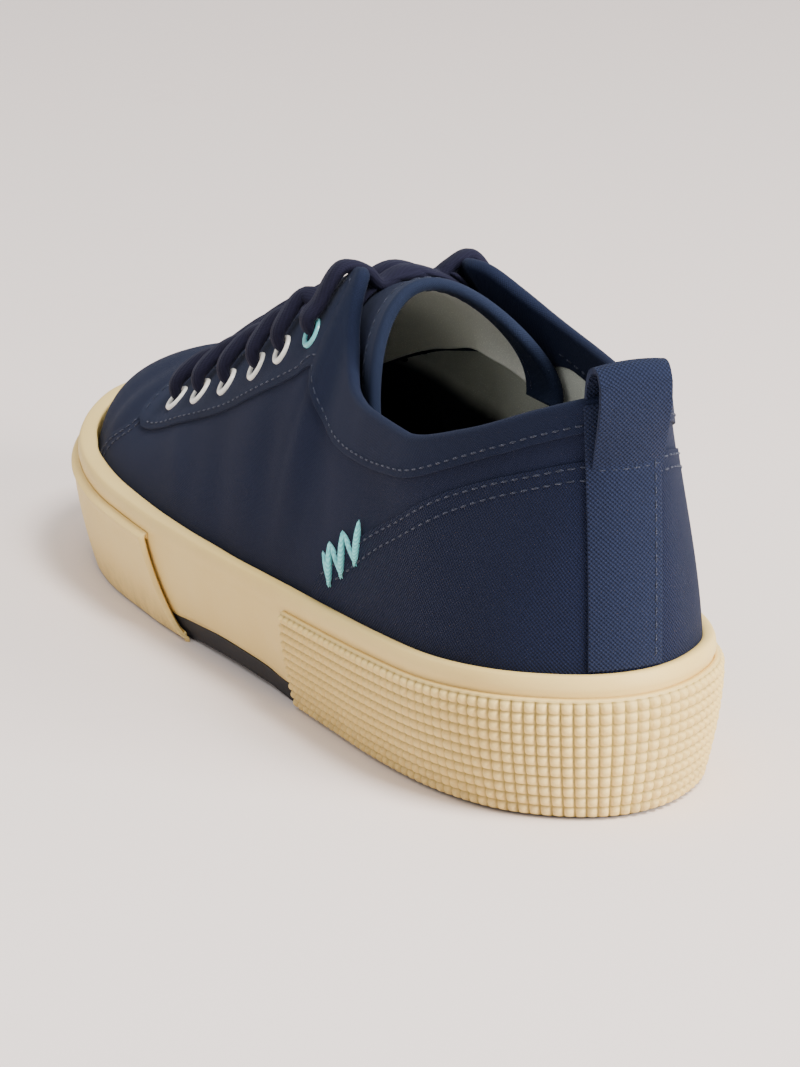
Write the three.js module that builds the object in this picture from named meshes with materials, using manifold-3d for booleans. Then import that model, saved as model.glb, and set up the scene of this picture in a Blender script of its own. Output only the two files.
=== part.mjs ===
// Low canvas lace-up sneaker for the left foot, at its real size in millimetres.
// +Z is up, the toe points to -Y, the heel to +Y, and the outer (lateral) side to +X.
// The origin is on the floor, under the middle of the shoe.
//
// Two measures place everything. "s" is the distance in front of the heel's back face.
// "lap" is an angle that runs once round the shoe: 0 at the heel, half a turn at the toe,
// the lateral side first and the medial side on the way back.

import * as THREE from 'three';
import * as BufferGeometryUtils from 'three/addons/utils/BufferGeometryUtils.js';
import Module from 'manifold-3d';

const wasm = await Module();
wasm.setup();

// Driving dimensions
const soleLength = 275;
const gap = 0.3; // kept between pieces that touch
const footRoom = 0.5; // more, where the upper goes down inside the foxing
const wallThickness = 1.8; // canvas and lining together
const holeLength = 4 * wallThickness; // of the cutters of the eyelet holes
const foxingThickness = 2.2;
const wrapThickness = 1.8; // rubber overlays round the heel and the toe
const wrapGap = 0.45; // between them and the foxing, which they follow in chords
const outsoleThickness = 5;
const insoleThickness = 3.2;
const widestHeight = 25; // where the sidewall is widest
const rimTaper = 0.3; // how far the sidewall runs in between there and the rim
const tuckCurve = 1.6; // how late the sidewall turns in below there
const wrapClearance = 0.6; // lower edge of the overlays above the floor
const wrapBelowRim = 4.9; // upper edge of the overlays below the rim
const grooveDepth = 2;
const grooveWidth = 3;
const grooveStations = [22, 39, 56, 73, 90, 170, 181, 192, 203, 214]; // s of each groove
const toeWrapStart = { low: 160, high: 174 }; // s of the overlay ends, at the floor and the rim
const heelWrapEnd = { low: 104, high: 101 };
const tongueThickness = 2.4;
const eyeletHole = 2; // radius
const eyeletBore = 1.1; // radius inside the barrel
const eyeletFlange = 3.6; // radius
const eyeletSheet = 0.4; // thickness of its metal
const eyeletProud = 0.8; // height of the rolled flange
const laceRadius = 2;
const laceEdgeRoom = 1.6; // extra room where a strand bends over the edge of the facing
const laceSpread = 1.1; // angle on the tongue's arch at which a strand would reach the edge
const laceArch = [0.3, 0.43, 0.57, 0.7]; // parts of the way across at which it lies on the tongue
const loopWidth = 19; // webbing up the back of the heel and over the collar
const loopThickness = 1.4;
const loopRise = 8; // top of the pull loop above the collar
const loopShoulder = 0.7; // part of that rise at either side of the fold
const loopFoot = 1; // lower end of the webbing above the rim
const loopInnerRow = 0.75; // row of the upper at which it ends inside
const loopReach = 40; // s in front of which there is no webbing

const lapSteps = 70; // columns round the shoe
const wallSteps = 8; // rows from the sole to the collar
const wrapSteps = 33; // columns and rows of the rubber overlays
const wrapRows = 3;
const tongueSteps = 12; // along and across the tongue
const tongueArchSteps = 8;
const laceSteps = 8; // along each strand
const laceSides = 3; // to each half of its section
const loopColumns = 6; // across the webbing, up its outside and down its inside
const loopRows = 7;
const loopInnerRows = 2;
const eyeletSides = 8;
const fullTurn = 2 * Math.PI;
const solveSteps = 24; // halvings of a search
const weldDistance = 0.001;
const overlay = wrapGap + wrapThickness;
const featherInset = foxingThickness + gap + footRoom; // foot of the upper, in from the foxing's face

// Outer edge of the foxing at its widest height, the height of its rim, and how far the
// sidewall tucks in between its widest height and the floor.
const heelEdge = { s: overlay, out: 0, rim: 33.4, tuck: 4.6 };
const toeEdge = { s: soleLength - overlay, out: -4, rim: 35.3, tuck: 4.6 };
const lateralEdge = [
  { s: 9, out: 17.5, rim: 33.2, tuck: 4.6 },
  { s: 20, out: 27.5, rim: 32.7, tuck: 4.6 },
  { s: 38, out: 34.5, rim: 31.7, tuck: 4.6 },
  { s: 60, out: 38, rim: 31.2, tuck: 4.6 },
  { s: 85, out: 39.6, rim: 30.2, tuck: 4.8 },
  { s: 110, out: 41, rim: 29.3, tuck: 5 },
  { s: 135, out: 43, rim: 28.8, tuck: 5 },
  { s: 160, out: 44.8, rim: 28.7, tuck: 4.8 },
  { s: 180, out: 45.7, rim: 28.7, tuck: 4.6 },
  { s: 200, out: 45.7, rim: 29, tuck: 4.6 },
  { s: 220, out: 44, rim: 29.8, tuck: 4.6 },
  { s: 238, out: 39.5, rim: 31, tuck: 4.6 },
  { s: 254, out: 31, rim: 33, tuck: 4.6 },
  { s: 266, out: 18.5, rim: 35, tuck: 4.6 },
];
const medialEdge = [
  { s: 9, out: 17.5, rim: 33.2, tuck: 4.6 },
  { s: 20, out: 27.5, rim: 32.7, tuck: 4.6 },
  { s: 38, out: 34, rim: 31.7, tuck: 4.6 },
  { s: 60, out: 35.8, rim: 30.5, tuck: 5 },
  { s: 85, out: 35.2, rim: 29.1, tuck: 6 },
  { s: 110, out: 34, rim: 28.4, tuck: 7.5 },
  { s: 135, out: 34.2, rim: 28.2, tuck: 8.5 },
  { s: 160, out: 36.8, rim: 28.5, tuck: 8 },
  { s: 180, out: 40.5, rim: 29.3, tuck: 6.5 },
  { s: 200, out: 44.2, rim: 30.5, tuck: 5.2 },
  { s: 220, out: 45.7, rim: 32.3, tuck: 4.6 },
  { s: 238, out: 43.3, rim: 33.5, tuck: 4.6 },
  { s: 254, out: 36.5, rim: 34.5, tuck: 4.6 },
  { s: 266, out: 25, rim: 35.1, tuck: 4.6 },
];

// Underside of the sole: flat under the heel and the ball, hollow at the waist, sprung at the toe.
const groundRows = [
  { s: 0, z: 0, seat: 20 },
  { s: 108, z: 0, seat: 19.5 },
  { s: 118, z: 1, seat: 19 },
  { s: 137, z: 1.4, seat: 18 },
  { s: 156, z: 1, seat: 17 },
  { s: 166, z: 0, seat: 16.5 },
  { s: 222, z: 0, seat: 16 },
  { s: 240, z: 1.4, seat: 16 },
  { s: 258, z: 4.2, seat: 16 },
  { s: soleLength, z: 7.5, seat: 16 },
];

// Top line of the upper: round the collar, up to the tab of the facing, and down the facing
// to the throat. "s" is where the wall under each point leaves the sole. The last four columns
// shape the wall: how far and how steeply it leaves the sole and arrives at the top line.
const heelTop = { s: overlay, topS: 5, out: 0, z: 93, rise: 30, lean: 2, reach: 26, drop: 88 };
const toeTop = { s: toeEdge.s, topS: 217, out: -1, z: 56, rise: 23.5, lean: 0, reach: 36, drop: 14 };
const lateralTop = [
  { s: 7, topS: 7.5, out: 8.5, z: 92.2, rise: 29, lean: 2, reach: 25, drop: 88 },
  { s: 20, topS: 18, out: 15.8, z: 88, rise: 26, lean: 2, reach: 22, drop: 86 },
  { s: 40, topS: 37, out: 24.3, z: 80.2, rise: 22, lean: 2, reach: 18, drop: 83 },
  { s: 60, topS: 59, out: 28.8, z: 74.8, rise: 18, lean: 2, reach: 16, drop: 79 },
  { s: 80, topS: 79, out: 28.4, z: 74.9, rise: 18, lean: 1, reach: 17, drop: 76 },
  { s: 88, topS: 87.5, out: 27.3, z: 75.4, rise: 18, lean: 1, reach: 18, drop: 73.5 },
  { s: 95, topS: 95.4, out: 25.6, z: 77, rise: 18, lean: 1, reach: 19, drop: 71 },
  { s: 104, topS: 105, out: 21.9, z: 82.3, rise: 18, lean: 1, reach: 21, drop: 66 },
  { s: 110, topS: 109.8, out: 19.2, z: 89.5, rise: 18, lean: 1, reach: 23, drop: 61 },
  { s: 115, topS: 112.8, out: 16.2, z: 96, rise: 18, lean: 1, reach: 25, drop: 56 },
  { s: 121, topS: 116.5, out: 14.6, z: 97.5, rise: 18, lean: 1, reach: 25, drop: 53 },
  { s: 128, topS: 123, out: 15.5, z: 93.5, rise: 18, lean: 1, reach: 24, drop: 51 },
  { s: 138, topS: 134, out: 17.5, z: 86.5, rise: 18, lean: 1, reach: 23, drop: 49 },
  { s: 152, topS: 150, out: 19.3, z: 77, rise: 17, lean: 0, reach: 21, drop: 46 },
  { s: 170, topS: 168, out: 20, z: 68, rise: 16, lean: 0, reach: 19, drop: 43 },
  { s: 190, topS: 187, out: 20.2, z: 60, rise: 16, lean: 0, reach: 18, drop: 40 },
  { s: 210, topS: 202, out: 19, z: 54.8, rise: 17, lean: 0, reach: 19, drop: 36 },
  { s: 234, topS: 213, out: 12, z: 54.6, rise: 20.5, lean: 0, reach: 26, drop: 24 },
];
const medialTop = [
  { s: 7, topS: 7.5, out: 8.5, z: 92.2, rise: 29, lean: 2, reach: 25, drop: 88 },
  { s: 20, topS: 18, out: 15.8, z: 88.7, rise: 26, lean: 2, reach: 22, drop: 86 },
  { s: 40, topS: 37, out: 24.2, z: 82.4, rise: 22, lean: 2, reach: 19, drop: 83 },
  { s: 60, topS: 59, out: 28.7, z: 79.6, rise: 20, lean: 1, reach: 18, drop: 79 },
  { s: 80, topS: 79, out: 28, z: 82.3, rise: 20, lean: 1, reach: 20, drop: 76 },
  { s: 95, topS: 95, out: 24.8, z: 86.8, rise: 20, lean: 1, reach: 22, drop: 71 },
  { s: 105, topS: 105, out: 21.2, z: 91.2, rise: 20, lean: 1, reach: 24, drop: 66 },
  { s: 113, topS: 112, out: 17.5, z: 95, rise: 20, lean: 1, reach: 25, drop: 59 },
  { s: 121, topS: 118.5, out: 15, z: 95.8, rise: 20, lean: 1, reach: 25, drop: 54 },
  { s: 129, topS: 125.5, out: 15.8, z: 92.2, rise: 20, lean: 1, reach: 24, drop: 51 },
  { s: 139, topS: 136, out: 17.5, z: 86.5, rise: 20, lean: 1, reach: 23, drop: 49 },
  { s: 152, topS: 151, out: 19.3, z: 79.5, rise: 20, lean: 0, reach: 21, drop: 47 },
  { s: 170, topS: 170, out: 21, z: 71, rise: 20, lean: 0, reach: 20, drop: 45 },
  { s: 190, topS: 188, out: 22.4, z: 64, rise: 21, lean: 0, reach: 19, drop: 42 },
  { s: 210, topS: 204, out: 21.2, z: 58, rise: 20.5, lean: 0, reach: 20, drop: 36 },
  { s: 234, topS: 214, out: 12.5, z: 55.6, rise: 22.5, lean: 0, reach: 27, drop: 24 },
];

// Crown of the tongue from its free top edge to its end under the toe. Each cross-section
// is an arch: half its width, how far it falls, how far round the arch the cloth reaches, how
// far it sits towards the lateral side, and how far it is pulled up there.
const tongueRows = [
  { s: 96, z: 97, half: 24.2, fall: 29, wrap: 97, shift: -2.4, skew: 6.2 },
  { s: 108, z: 95.5, half: 21, fall: 25, wrap: 92, shift: -1.4, skew: 3 },
  { s: 122, z: 92.5, half: 19, fall: 21, wrap: 84, shift: -0.3, skew: 0.5 },
  { s: 145, z: 84.5, half: 21, fall: 22, wrap: 74, shift: 0, skew: 0 },
  { s: 170, z: 75, half: 23, fall: 22, wrap: 68, shift: 0, skew: 0 },
  { s: 196, z: 63, half: 23.5, fall: 21, wrap: 62, shift: 0, skew: 0 },
  { s: 212, z: 55.5, half: 24, fall: 20, wrap: 55, shift: 0, skew: 0 },
  { s: 226, z: 49.5, half: 25, fall: 19, wrap: 50, shift: 0, skew: 0 },
];

// Eyelets from the toe end to the collar: station on either side, and distance from the edge.
const eyeletRows = [
  { lateral: 197.5, medial: 203, inset: 10.8 },
  { lateral: 182.4, medial: 186.5, inset: 10.4 },
  { lateral: 166.5, medial: 169, inset: 10.4 },
  { lateral: 149, medial: 151.8, inset: 10.7 },
  { lateral: 136.5, medial: 135.5, inset: 10.7 },
  { lateral: 122.6, medial: 120.5, inset: 11.8 },
];
const facingEnds = { back: 100, front: 250 }; // s between which the eyelets are looked for

const place = (s, t, z) => new THREE.Vector3(t, soleLength / 2 - s, z);

// A smooth curve through values at growing keys, which never swings past them.
function smooth(keys, values) {
  const rise = (i, j) => (values[j] - values[i]) / (keys[j] - keys[i]);
  const slopes = keys.map((key, i) => {
    const before = Math.max(i - 1, 0);
    const after = Math.min(i + 1, keys.length - 1);
    const behind = before < i ? rise(before, i) : rise(i, after);
    const ahead = after > i ? rise(i, after) : behind;
    if (behind * ahead <= 0) {
      return 0;
    }
    const limit = 3 * Math.min(Math.abs(behind), Math.abs(ahead));
    return THREE.MathUtils.clamp(rise(before, after), -limit, limit);
  });
  return (x) => {
    let i = 0;
    while (i < keys.length - 2 && x > keys[i + 1]) {
      i += 1;
    }
    const width = keys[i + 1] - keys[i];
    const f = (x - keys[i]) / width;
    const g = 1 - f;
    const ends = values[i] * (1 + 2 * f) * g * g + values[i + 1] * f * f * (1 + 2 * g);
    return ends + width * f * g * (slopes[i] * g - slopes[i + 1] * f);
  };
}

// The place between two numbers where a condition that holds at first stops holding.
function search(from, to, holds) {
  let low = from;
  let high = to;
  for (let i = 0; i < solveSteps; i += 1) {
    const middle = (low + high) / 2;
    if (holds(middle)) {
      low = middle;
    } else {
      high = middle;
    }
  }
  return (low + high) / 2;
}

const byStation = (rows, column) => smooth(rows.map((row) => row.s), rows.map((row) => row[column]));

// Lap angle of a station on the lateral side, and the station of a lap angle.
const edgeLength = toeEdge.s - heelEdge.s;
const lapOf = (s) => Math.acos(THREE.MathUtils.clamp(1 - (2 * (s - heelEdge.s)) / edgeLength, -1, 1));
const stationOf = (lap) => heelEdge.s + (edgeLength * (1 - Math.cos(lap))) / 2;

// A smooth curve round the shoe through one column of the heel, lateral, toe and medial rows.
function round(heel, lateral, toe, medial, column, mirrored = false) {
  const sign = mirrored ? -1 : 1;
  const knots = [
    ...medial.map((row) => [-lapOf(row.s), sign * row[column]]).reverse(),
    [0, heel[column]],
    ...lateral.map((row) => [lapOf(row.s), row[column]]),
    [Math.PI, toe[column]],
    ...medial.map((row) => [fullTurn - lapOf(row.s), sign * row[column]]).reverse(),
    [fullTurn, heel[column]],
    ...lateral.map((row) => [fullTurn + lapOf(row.s), row[column]]),
  ];
  knots.sort((one, other) => one[0] - other[0]);
  return smooth(knots.map((knot) => knot[0]), knots.map((knot) => knot[1]));
}

const edgeOut = round(heelEdge, lateralEdge, toeEdge, medialEdge, 'out', true);
const rimHeight = round(heelEdge, lateralEdge, toeEdge, medialEdge, 'rim');
const sidewallTuck = round(heelEdge, lateralEdge, toeEdge, medialEdge, 'tuck');
const groundHeight = byStation(groundRows, 'z');
const seatDepth = byStation(groundRows, 'seat');
const seatHeight = (s) => groundHeight(s) + seatDepth(s);

const topS = round(heelTop, lateralTop, toeTop, medialTop, 'topS');
const topOut = round(heelTop, lateralTop, toeTop, medialTop, 'out', true);
const topZ = round(heelTop, lateralTop, toeTop, medialTop, 'z');
const wallRise = round(heelTop, lateralTop, toeTop, medialTop, 'rise');
const wallLean = round(heelTop, lateralTop, toeTop, medialTop, 'lean');
const wallReach = round(heelTop, lateralTop, toeTop, medialTop, 'reach');
const wallDrop = round(heelTop, lateralTop, toeTop, medialTop, 'drop');

// Outward direction of the outline, level with the floor.
function outward(lap) {
  const step = 0.01;
  const ds = stationOf(lap + step) - stationOf(lap - step);
  const dt = edgeOut(lap + step) - edgeOut(lap - step);
  return new THREE.Vector3(ds, dt, 0).normalize();
}

// A point on the outline moved in by a distance, at a height.
function edgePoint(lap, inset, z) {
  const out = outward(lap);
  return place(stationOf(lap), edgeOut(lap), z).addScaledVector(out, -inset);
}

// The foxing's outer face, "up" being the height above the ground.
function sidewallPoint(lap, up, proud = 0) {
  const ground = groundHeight(stationOf(lap));
  const above = Math.max(up - widestHeight, 0) / (rimHeight(lap) - ground - widestHeight);
  const below = Math.max(widestHeight - up, 0) / widestHeight;
  const inset = rimTaper * above + sidewallTuck(lap) * below ** tuckCurve;
  return edgePoint(lap, inset - proud, ground + up);
}

// The upper's outer face: from the sole at v = 0 to the top line at v = 1.
function upperPoint(lap, v) {
  const out = outward(lap);
  const up = new THREE.Vector3(0, 0, 1);
  const foot = edgePoint(lap, featherInset, seatHeight(stationOf(lap)) + gap);
  const top = place(topS(lap), topOut(lap), topZ(lap));
  const lean = THREE.MathUtils.degToRad(wallLean(lap));
  const drop = THREE.MathUtils.degToRad(wallDrop(lap));
  const low = foot.clone().addScaledVector(up, wallRise(lap) * Math.cos(lean));
  low.addScaledVector(out, wallRise(lap) * Math.sin(lean));
  const high = top.clone().addScaledVector(out, wallReach(lap) * Math.cos(drop));
  high.addScaledVector(up, -wallReach(lap) * Math.sin(drop));
  return new THREE.CubicBezierCurve3(foot, low, high, top).getPoint(v);
}

function upperNormal(lap, v) {
  const step = 0.004;
  const lo = Math.max(v - step, 0);
  const hi = Math.min(v + step, 1);
  const across = upperPoint(lap + step, v).sub(upperPoint(lap - step, v));
  const along = upperPoint(lap, hi).sub(upperPoint(lap, lo));
  return along.cross(across).normalize();
}

// The upper's face moved out (or in, below zero) along its normal.
const upperOffset = (lap, v, proud) => upperPoint(lap, v).addScaledVector(upperNormal(lap, v), proud);

// The row v at which the upper's face reaches a height.
const rowAtHeight = (lap, z) => search(0, 1, (v) => upperPoint(lap, v).z < z);

const evenly = (count, from, to) => Array.from({ length: count + 1 }, (_, i) => from + ((to - from) * i) / count);

// A closed geometry from four-sided patches: points repeated at one place become one,
// and faces that this empties are dropped.
function closedGeometry(quads) {
  const positions = [];
  quads.forEach(([a, b, c, d]) => {
    positions.push(...a, ...b, ...c, ...a, ...c, ...d);
  });
  const loose = new THREE.BufferGeometry();
  loose.setAttribute('position', new THREE.Float32BufferAttribute(positions, 3));
  const merged = BufferGeometryUtils.mergeVertices(loose, weldDistance);
  const kept = [];
  const index = merged.index.array;
  for (let i = 0; i < index.length; i += 3) {
    const [a, b, c] = [index[i], index[i + 1], index[i + 2]];
    if (a !== b && b !== c && c !== a) {
      kept.push(a, b, c);
    }
  }
  merged.setIndex(kept);
  return merged;
}

// Lap angles of the columns of a ring, the way round that turns its faces outwards.
const ringLaps = evenly(lapSteps, fullTurn, 0).slice(0, lapSteps);

// A strip of material between an outer and an inner face, section by section.
// Each section is { outer, inner }: two equal lists of points, from the lower edge to the upper.
function band(sections, isRing) {
  const quads = [];
  const count = sections.length;
  const last = sections[0].outer.length - 1;
  for (let i = 0; i < (isRing ? count : count - 1); i += 1) {
    const here = sections[i];
    const next = sections[(i + 1) % count];
    for (let j = 0; j < last; j += 1) {
      quads.push([here.outer[j], next.outer[j], next.outer[j + 1], here.outer[j + 1]]);
      quads.push([here.inner[j + 1], next.inner[j + 1], next.inner[j], here.inner[j]]);
    }
    quads.push([here.inner[0], next.inner[0], next.outer[0], here.outer[0]]);
    quads.push([here.outer[last], next.outer[last], next.inner[last], here.inner[last]]);
  }
  if (!isRing) {
    const first = sections[0];
    const end = sections[count - 1];
    for (let j = 0; j < last; j += 1) {
      quads.push([first.inner[j], first.outer[j], first.outer[j + 1], first.inner[j + 1]]);
      quads.push([end.outer[j], end.inner[j], end.inner[j + 1], end.outer[j + 1]]);
    }
  }
  return closedGeometry(quads);
}

// A slab that fills the outline: side(lap) lists the points of its edge from bottom to top,
// and straight ribs join the lateral edge to the medial edge at each station.
function slab(side, steps) {
  const quads = [];
  const sections = evenly(steps, 0, Math.PI).map((lap) => [...side(lap), ...side(fullTurn - lap).reverse()]);
  for (let i = 0; i < steps; i += 1) {
    const here = sections[i];
    const next = sections[i + 1];
    here.forEach((point, j) => {
      const k = (j + 1) % here.length;
      quads.push([point, here[k], next[k], next[j]]);
    });
  }
  return closedGeometry(quads);
}

// manifold-3d is used for joins and cuts only.
function toSolid(geometry) {
  const bare = geometry.clone();
  bare.deleteAttribute('normal');
  bare.deleteAttribute('uv');
  const merged = BufferGeometryUtils.mergeVertices(bare, weldDistance / 10);
  const vertProperties = new Float32Array(merged.attributes.position.array);
  const triVerts = new Uint32Array(merged.index.array);
  return new wasm.Manifold(new wasm.Mesh({ numProp: 3, vertProperties, triVerts }));
}

function toGeometry(solid) {
  const mesh = solid.getMesh();
  const geometry = new THREE.BufferGeometry();
  geometry.setAttribute('position', new THREE.BufferAttribute(mesh.vertProperties, 3));
  geometry.setIndex(new THREE.BufferAttribute(mesh.triVerts, 1));
  return geometry;
}

// Outsole: a thin tread slab with cross grooves under the heel and the ball.
function makeOutsole() {
  const side = (lap) => [
    sidewallPoint(lap, 0),
    sidewallPoint(lap, outsoleThickness / 2),
    sidewallPoint(lap, outsoleThickness),
  ];
  let solid = toSolid(slab(side, lapSteps / 2));
  grooveStations.forEach((s) => {
    const groove = new THREE.BoxGeometry(soleLength, grooveWidth, 2 * grooveDepth);
    groove.translate(...place(s, 0, 0));
    solid = solid.subtract(toSolid(groove));
  });
  return toGeometry(solid);
}

// Midsole: the core that fills the foxing from the outsole up to the seat.
function makeMidsole() {
  const inset = foxingThickness + gap;
  const side = (lap) => {
    const rise = seatDepth(stationOf(lap));
    return [outsoleThickness + gap, rise / 2, rise].map((up) => sidewallPoint(lap, up, -inset));
  };
  return slab(side, lapSteps / 2);
}

// Foxing: the rubber tape round the shoe, up against the midsole and then the upper.
function makeFoxing() {
  const sections = ringLaps.map((lap) => {
    const s = stationOf(lap);
    const ground = groundHeight(s);
    const seat = seatDepth(s);
    const rim = rimHeight(lap) - ground;
    const heights = [outsoleThickness + gap, seat / 2, seat + gap, widestHeight, rim];
    const outer = heights.map((up) => sidewallPoint(lap, up));
    const inner = heights.map((up) => {
      if (up <= seat) {
        return sidewallPoint(lap, up, -foxingThickness);
      }
      return upperOffset(lap, rowAtHeight(lap, ground + up), gap);
    });
    return { outer, inner };
  });
  return band(sections, true);
}

// An overlay on the sidewall between two lap angles, whose ends slant from the lower edge
// to the upper one.
function makeWrap(startLow, startHigh, endLow, endHigh) {
  const sections = evenly(wrapSteps, 0, 1).map((f) => {
    const low = THREE.MathUtils.lerp(startLow, endLow, f);
    const high = THREE.MathUtils.lerp(startHigh, endHigh, f);
    const levels = evenly(wrapRows, 0, 1).map((level) => {
      const lap = THREE.MathUtils.lerp(low, high, level);
      const top = rimHeight(lap) - groundHeight(stationOf(lap)) - wrapBelowRim;
      return { lap, up: THREE.MathUtils.lerp(wrapClearance, top, level) };
    });
    return {
      outer: levels.map(({ lap, up }) => sidewallPoint(lap, up, overlay)),
      inner: levels.map(({ lap, up }) => sidewallPoint(lap, up, wrapGap)),
    };
  });
  return band(sections, false);
}

function makeToeBumper() {
  const low = lapOf(toeWrapStart.low);
  const high = lapOf(toeWrapStart.high);
  return makeWrap(fullTurn - low, fullTurn - high, low, high);
}

function makeHeelBumper() {
  const low = lapOf(heelWrapEnd.low);
  const high = lapOf(heelWrapEnd.high);
  return makeWrap(low, high, -low, -high);
}

// Insole: a flat sock that lies on the midsole inside the upper.
function makeInsole() {
  const inset = featherInset + wallThickness + 2 * gap;
  const side = (lap) => {
    const seat = seatHeight(stationOf(lap)) + gap;
    return [edgePoint(lap, inset, seat), edgePoint(lap, inset, seat + insoleThickness)];
  };
  return slab(side, lapSteps / 2);
}

// Turns a geometry that stands on the XZ plane so that it stands on a face of the upper.
function standOn(geometry, point, normal) {
  const turn = new THREE.Quaternion().setFromUnitVectors(new THREE.Vector3(0, 1, 0), normal);
  return geometry.applyQuaternion(turn).translate(...point);
}

// The lap angle and the row of an eyelet, and the face of the upper there.
function eyeletSeat(side, index) {
  const row = eyeletRows[index];
  const target = side > 0 ? row.lateral : row.medial;
  const lapAt = (along) => (side > 0 ? along : fullTurn - along);
  const rowAt = (lap) => {
    const edge = upperPoint(lap, 1);
    return search(0, 1, (v) => upperPoint(lap, v).distanceTo(edge) > row.inset);
  };
  const along = search(lapOf(facingEnds.back), lapOf(facingEnds.front), (angle) => {
    const lap = lapAt(angle);
    return soleLength / 2 - upperPoint(lap, rowAt(lap)).y < target;
  });
  const lap = lapAt(along);
  const v = rowAt(lap);
  return { lap, point: upperPoint(lap, v), normal: upperNormal(lap, v) };
}

// Upper: one canvas shell, open along the collar and the throat and underneath.
function makeUpper() {
  const sections = ringLaps.map((lap) => {
    const rows = evenly(wallSteps, 0, 1);
    return {
      outer: rows.map((v) => upperPoint(lap, v)),
      inner: rows.map((v) => upperOffset(lap, v, -wallThickness)),
    };
  });
  let solid = toSolid(band(sections, true));
  [1, -1].forEach((side) => {
    for (let i = 0; i < eyeletRows.length; i += 1) {
      const { point, normal } = eyeletSeat(side, i);
      const hole = new THREE.CylinderGeometry(eyeletHole, eyeletHole, holeLength, eyeletSides);
      solid = solid.subtract(toSolid(standOn(hole, point, normal)));
    }
  });
  return toGeometry(solid);
}

// Eyelet: a rolled flange on the facing and a barrel down through it.
function makeEyelet(side, index) {
  const { point, normal } = eyeletSeat(side, index);
  const barrel = eyeletBore + eyeletSheet;
  const profile = [
    [eyeletBore, -wallThickness],
    [barrel, -wallThickness],
    [barrel, gap],
    [eyeletFlange, gap],
    [eyeletFlange, gap + eyeletProud],
    [eyeletBore, gap + eyeletProud],
    [eyeletBore, -wallThickness],
  ];
  const points = profile.map(([radius, height]) => new THREE.Vector2(radius, height));
  return standOn(new THREE.LatheGeometry(points, eyeletSides), point, normal);
}

// A point of the tongue's outer face (or its lining, "under" below it) at an angle round the arch.
const tongueCrown = byStation(tongueRows, 'z');
const tongueHalf = byStation(tongueRows, 'half');
const tongueFall = byStation(tongueRows, 'fall');
const tongueWrap = byStation(tongueRows, 'wrap');
const tongueShift = byStation(tongueRows, 'shift');
const tongueSkew = byStation(tongueRows, 'skew');

function tonguePoint(s, angle, under) {
  const step = 0.5;
  const slope = (tongueCrown(s + step) - tongueCrown(s - step)) / (2 * step);
  const tilt = Math.atan(slope);
  const fallen = (tongueFall(s) - under) * (1 - Math.cos(angle));
  const down = under + fallen - tongueSkew(s) * Math.sin(2 * angle);
  const out = tongueShift(s) + (tongueHalf(s) - under) * Math.sin(angle);
  return place(s + down * Math.sin(tilt), out, tongueCrown(s) - down * Math.cos(tilt));
}

function makeTongue() {
  const firstRow = tongueRows[0].s;
  const lastRow = tongueRows[tongueRows.length - 1].s;
  const sections = evenly(tongueSteps, firstRow, lastRow).map((s) => {
    const wrap = THREE.MathUtils.degToRad(tongueWrap(s));
    const angles = evenly(tongueArchSteps, -wrap, wrap);
    return {
      outer: angles.map((angle) => tonguePoint(s, angle, 0)),
      inner: angles.map((angle) => tonguePoint(s, angle, tongueThickness)),
    };
  });
  return band(sections, false);
}

// Lace: each strand runs from an eyelet over the tongue to the next eyelet on the other side.
// The strands meet over the tongue and at the eyelets, so the lace is one solid.
function lacePath(side, index) {
  const lift = laceRadius + eyeletProud + 2 * gap;
  const from = eyeletSeat(side, index);
  const to = eyeletSeat(-side, index + 1);
  const start = from.point.clone().addScaledVector(from.normal, lift);
  const end = to.point.clone().addScaledVector(to.normal, lift);
  const stations = [start, end].map((point) => soleLength / 2 - point.y);
  const arch = laceArch.map((f) => {
    const s = THREE.MathUtils.lerp(stations[0], stations[1], f);
    return tonguePoint(s, side * THREE.MathUtils.lerp(laceSpread, -laceSpread, f), -laceRadius - 2 * gap);
  });
  const edges = [from, to].map((seat) => {
    const away = upperNormal(seat.lap, 1).add(new THREE.Vector3(0, 0, 1)).normalize();
    return upperPoint(seat.lap, 1).addScaledVector(away, lift + laceEdgeRoom);
  });
  return new THREE.CatmullRomCurve3([start, edges[0], ...arch, edges[1], end]);
}

function makeLace() {
  const section = new THREE.Shape();
  section.absarc(0, 0, laceRadius, 0, fullTurn, false);
  let lace = null;
  [1, -1].forEach((side) => {
    for (let i = 0; i < eyeletRows.length - 1; i += 1) {
      const options = { steps: laceSteps, extrudePath: lacePath(side, i), curveSegments: laceSides };
      const strand = toSolid(new THREE.ExtrudeGeometry(section, options));
      lace = lace ? lace.add(strand) : strand;
    }
  });
  return toGeometry(lace);
}

// A point at the back of the heel a distance to the side of its middle, on row v.
function heelPoint(out, v, proud) {
  const lap = search(-lapOf(loopReach), lapOf(loopReach), (angle) => upperPoint(angle, v).x < out);
  return upperOffset(lap, v, proud);
}

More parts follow.
